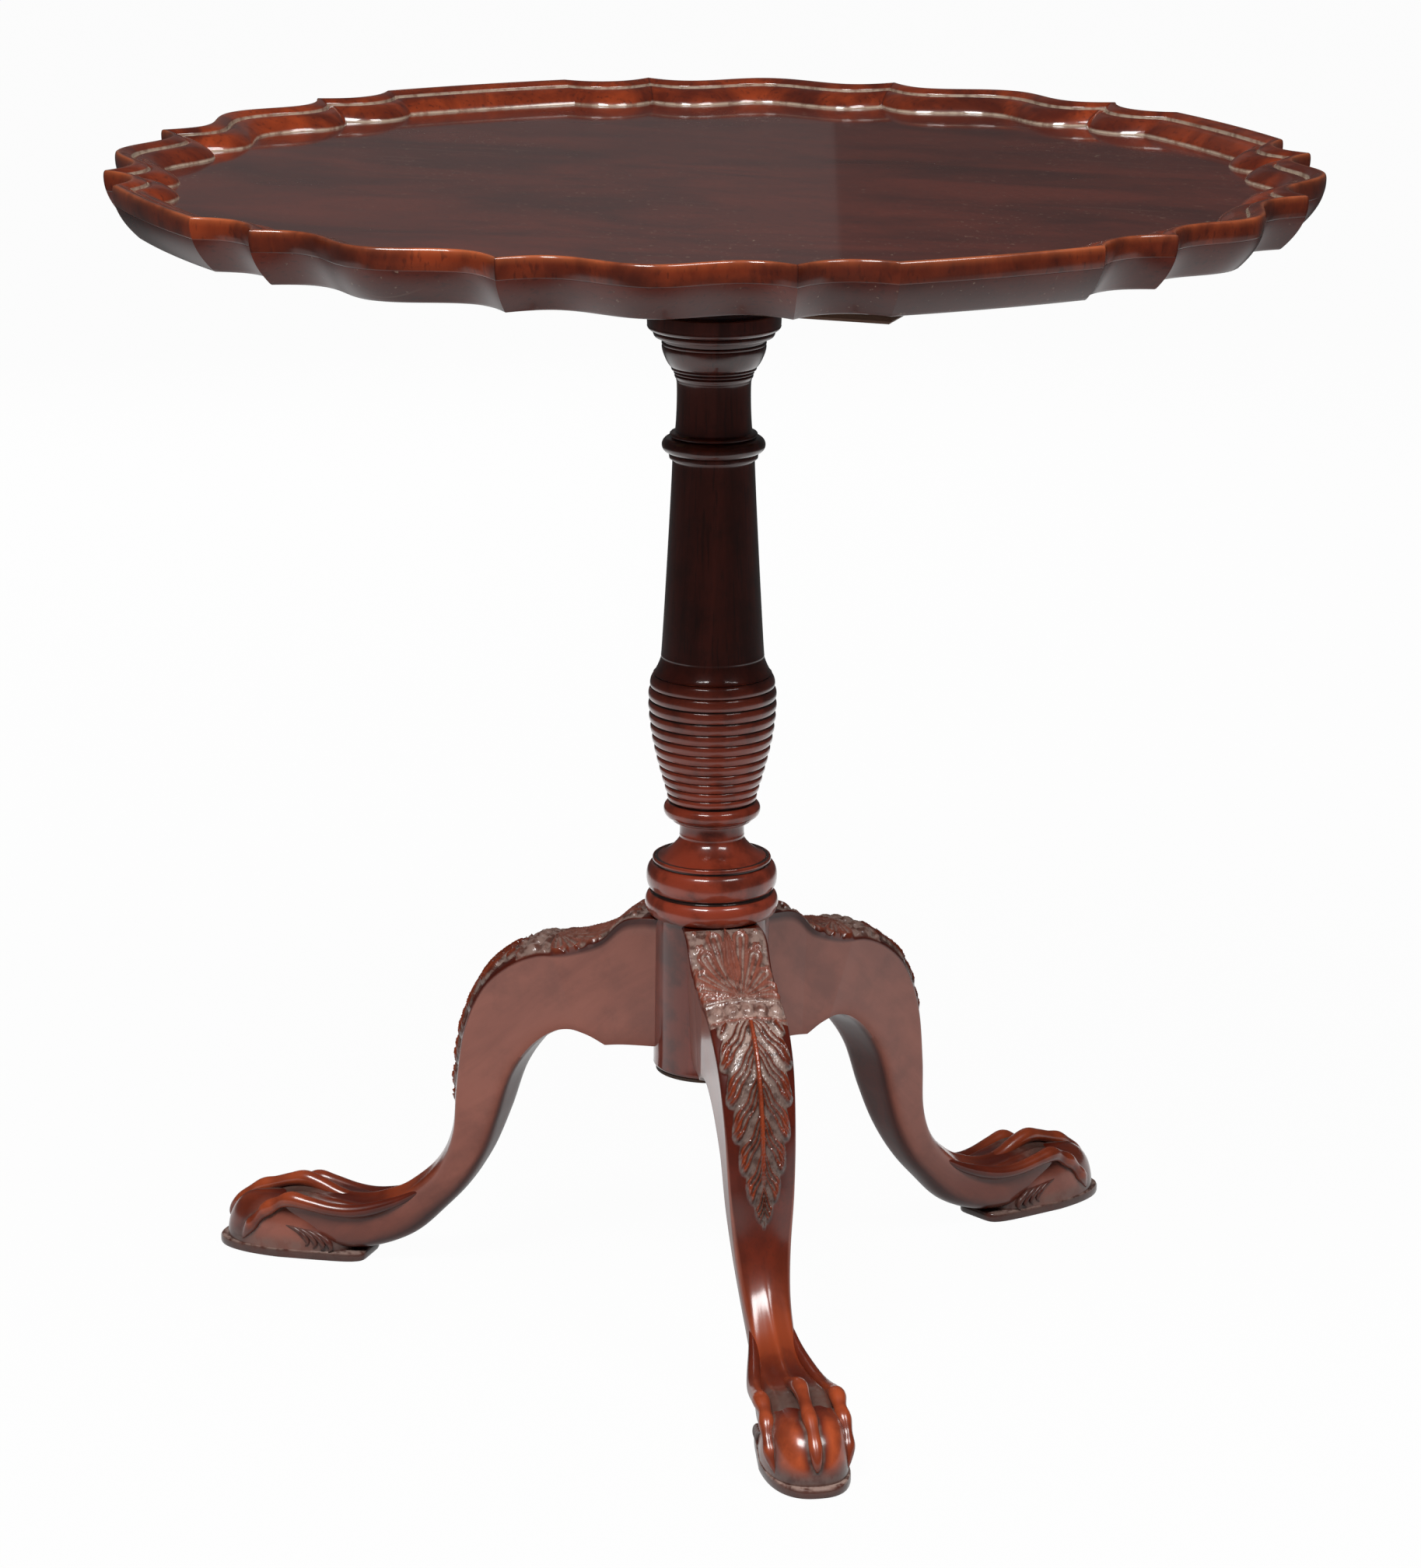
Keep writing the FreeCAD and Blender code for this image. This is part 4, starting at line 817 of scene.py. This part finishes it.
# the three legs, each with its ball, claw and pad; the balls are rubbed by different shares
def putLegs():
    toes = [toe(foot["midToe"]), toe(foot["sideToe"]), toe(foot["sideToe"], -1.0), toe(foot["rearToe"])]
    ballRings, ballTags = ball([rings for rings, tags in toes])
    body, claw, sole = [legBody()], toes + tufts(), [pad()]
    for node, turn in leg["bearings"].items():
        short = node.split("_")[1]
        wornAndLit = dict(ballTags, wear=ballTags["wear"] * foot["rubbedAndLit"][short])
        for ending, forms, nodes, sharp in (("LegCarved", body, [node], 50.0),
                                            ("FootBall", [(ballRings, wornAndLit)], [], 60.0),
                                            ("FootClaw", claw, [], 70.0), ("FootPad", sole, [], 40.0)):
            skins = [legSkin(rings, tags, turn) for rings, tags in forms]
            putPiece(short + ending, skins, "pedestal", nodes, legWood, sharp)


putLegs()
print("legs made")


# the hinge, catch and screws keep their solids and get their finishes
hardware = {
    bearerWood: ["bearer_front", "bearer_back", "hinge_block"],
    pinWood: ["hinge_pin_front", "hinge_pin_back", "tenon_wedge"],
    brass: ["catch_plate", "catch_bolt", "catch_knob", "keeper_plate", "catch_screws", "keeper_screws"],
    iron: ["pillar_plate", "pillar_plate_screws", "bearer_screws"],
}
for finish, nodes in hardware.items():
    for node in nodes:
        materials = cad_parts[node].data.materials
        materials.clear()
        materials.append(finish)
print("hardware finished")


studio = {
    "floorColour": (0.42, 0.42, 0.42), "floorRough": 0.9, "floorGloss": 0.1, "floorLift": 0.97,
    "floorReach": 30.0, "floorLevel": -0.0004, "worldLevel": 0.045,
    # reflections see white paper out to the first distance and a dark room past the second, sooner in front
    "paperReach": (0.9, 2.0), "frontReach": (0.42, 1.0), "farLevel": 0.05,
    # and the table's own shade below it: how far it reaches, how light it is in the middle
    "shadeReach": (0.12, 0.52), "shadeLevel": 0.5,
    # soft boxes aimed at a point: bearing from the camera, height angle, distance, size, watts, whether it
    # shows in the polish; the last two are a faint panel and a soft fill behind
    "aim": (0.0, 0.0, 0.4),
    "boxes": [(-23.0, 52.0, 3.0, 1.1, 106.0, True), (44.0, 51.5, 3.0, 1.1, 55.0, True),
              (187.0, 22.0, 3.0, 1.0, 0.12, True), (190.0, 18.0, 3.0, 1.6, 46.0, False)],
}
view = {
    "place": (1.0783, -3.1212, 1.2425), "around": 19.076, "pitch": 15.263, "roll": 0.261, "lens": 125.66,
    "sensor": 36.0, "clipEnd": 100.0,
}
black, white = (0.0, 0.0, 0.0), (1.0, 1.0, 1.0)


# the matrix of a thing with these axes at a place
def standing(right, up, back, place):
    return Matrix(np.vstack([np.column_stack([right, up, back, place]), [0, 0, 0, 1]]).tolist())


# the floor: plain paper for light, white to the camera, and in reflections as the studio says
def putFloor():
    reach, level = studio["floorReach"], studio["floorLevel"]
    mesh = bpy.data.meshes.new("paleFloor")
    corners = [(-reach, -reach, level), (reach, -reach, level), (reach, reach, level), (-reach, reach, level)]
    mesh.from_pydata(corners, [], [(0, 1, 2, 3)])
    floor = newObject("paleFloor", mesh)
    finish, paper, start = newMaterial("palePaper")
    fill(paper, {"Base Color": studio["floorColour"], "Roughness": studio["floorRough"],
                 "Specular IOR Level": studio["floorGloss"]})
    rays = start.add("LightPath").socket.node
    seen, glossy, through = (Sock(start.tree, rays.outputs["Is %s Ray" % kind])
                             for kind in ("Camera", "Glossy", "Transmission"))
    spot = start.add("TexCoord", out="Object")
    turn = math.radians(view["around"])
    front = (math.sin(turn), -math.cos(turn), 0.0)
    ahead = start.add("VectorMath", {"operation": "DOT_PRODUCT"}, {0: spot, 1: front}, "Value")
    around = start.add("VectorMath", {"operation": "LENGTH"}, {0: spot}, "Value")
    far = start.calc("MAXIMUM", ahead.step(*studio["frontReach"]), around.step(*studio["paperReach"]))
    lit = around.step(*studio["shadeReach"]) * (1.0 - studio["shadeLevel"]) + studio["shadeLevel"]
    glow = start.calc("MAXIMUM", seen, lit * (1.0 - far * (1.0 - studio["farLevel"])))
    glowing = start.add("Emission", None, {"Color": glow.blend(black, white)})
    share = start.calc("MAXIMUM", seen, start.calc("MAXIMUM", glossy, through)) * studio["floorLift"]
    mixed = start.add("MixShader", None, {0: share, 1: Sock(start.tree, paper.outputs[0]), 2: glowing})
    fill(start.tree.nodes["Material Output"], {"Surface": mixed})
    mesh.materials.append(finish)


# the world: white to the camera, dim for light
def putWorld():
    world = bpy.data.worlds.new("softStudio")
    bpy.context.scene.world = world
    world.use_nodes = True
    sky = world.node_tree
    seen = Sock(sky).add("LightPath", out="Is Camera Ray")
    fill(sky.nodes["Background"], {"Color": seen.blend((studio["worldLevel"],) * 3, white)})


def putLamps():
    for number, (turn, height, far, size, watts, shown) in enumerate(studio["boxes"]):
        a, e = math.radians(view["around"] + turn), math.radians(height)
        out = np.array([math.sin(a) * math.cos(e), -math.cos(a) * math.cos(e), math.sin(e)])
        lamp = bpy.data.lights.new("softBox%d" % (number + 1), "AREA")
        lamp.shape = "SQUARE"
        lamp.size = size
        lamp.energy = watts
        box = newObject(lamp.name, lamp)
        box.visible_glossy = shown
        box.visible_camera = False
        right = unit(np.cross((0, 0, 1), out))
        box.matrix_world = standing(right, np.cross(out, right), out, np.array(studio["aim"]) + out * far)


def putCamera():
    a, p, r = (math.radians(view[key]) for key in ("around", "pitch", "roll"))
    ahead = np.array([-math.sin(a) * math.cos(p), math.cos(a) * math.cos(p), -math.sin(p)])
    right = np.array([math.cos(a), math.sin(a), 0.0])
    up = np.cross(right, ahead)
    right, up = math.cos(r) * right + math.sin(r) * up, math.cos(r) * up - math.sin(r) * right
    camera = newObject("photoCamera", bpy.data.cameras.new("photoCamera"))
    camera.data.lens = view["lens"]
    camera.data.sensor_width = view["sensor"]
    camera.data.clip_end = view["clipEnd"]
    camera.matrix_world = standing(right, up, -ahead, view["place"])
    bpy.context.scene.camera = camera
    bpy.context.scene.view_settings.view_transform = "Standard"


putFloor()
putWorld()
putLamps()
putCamera()
print("studio set")
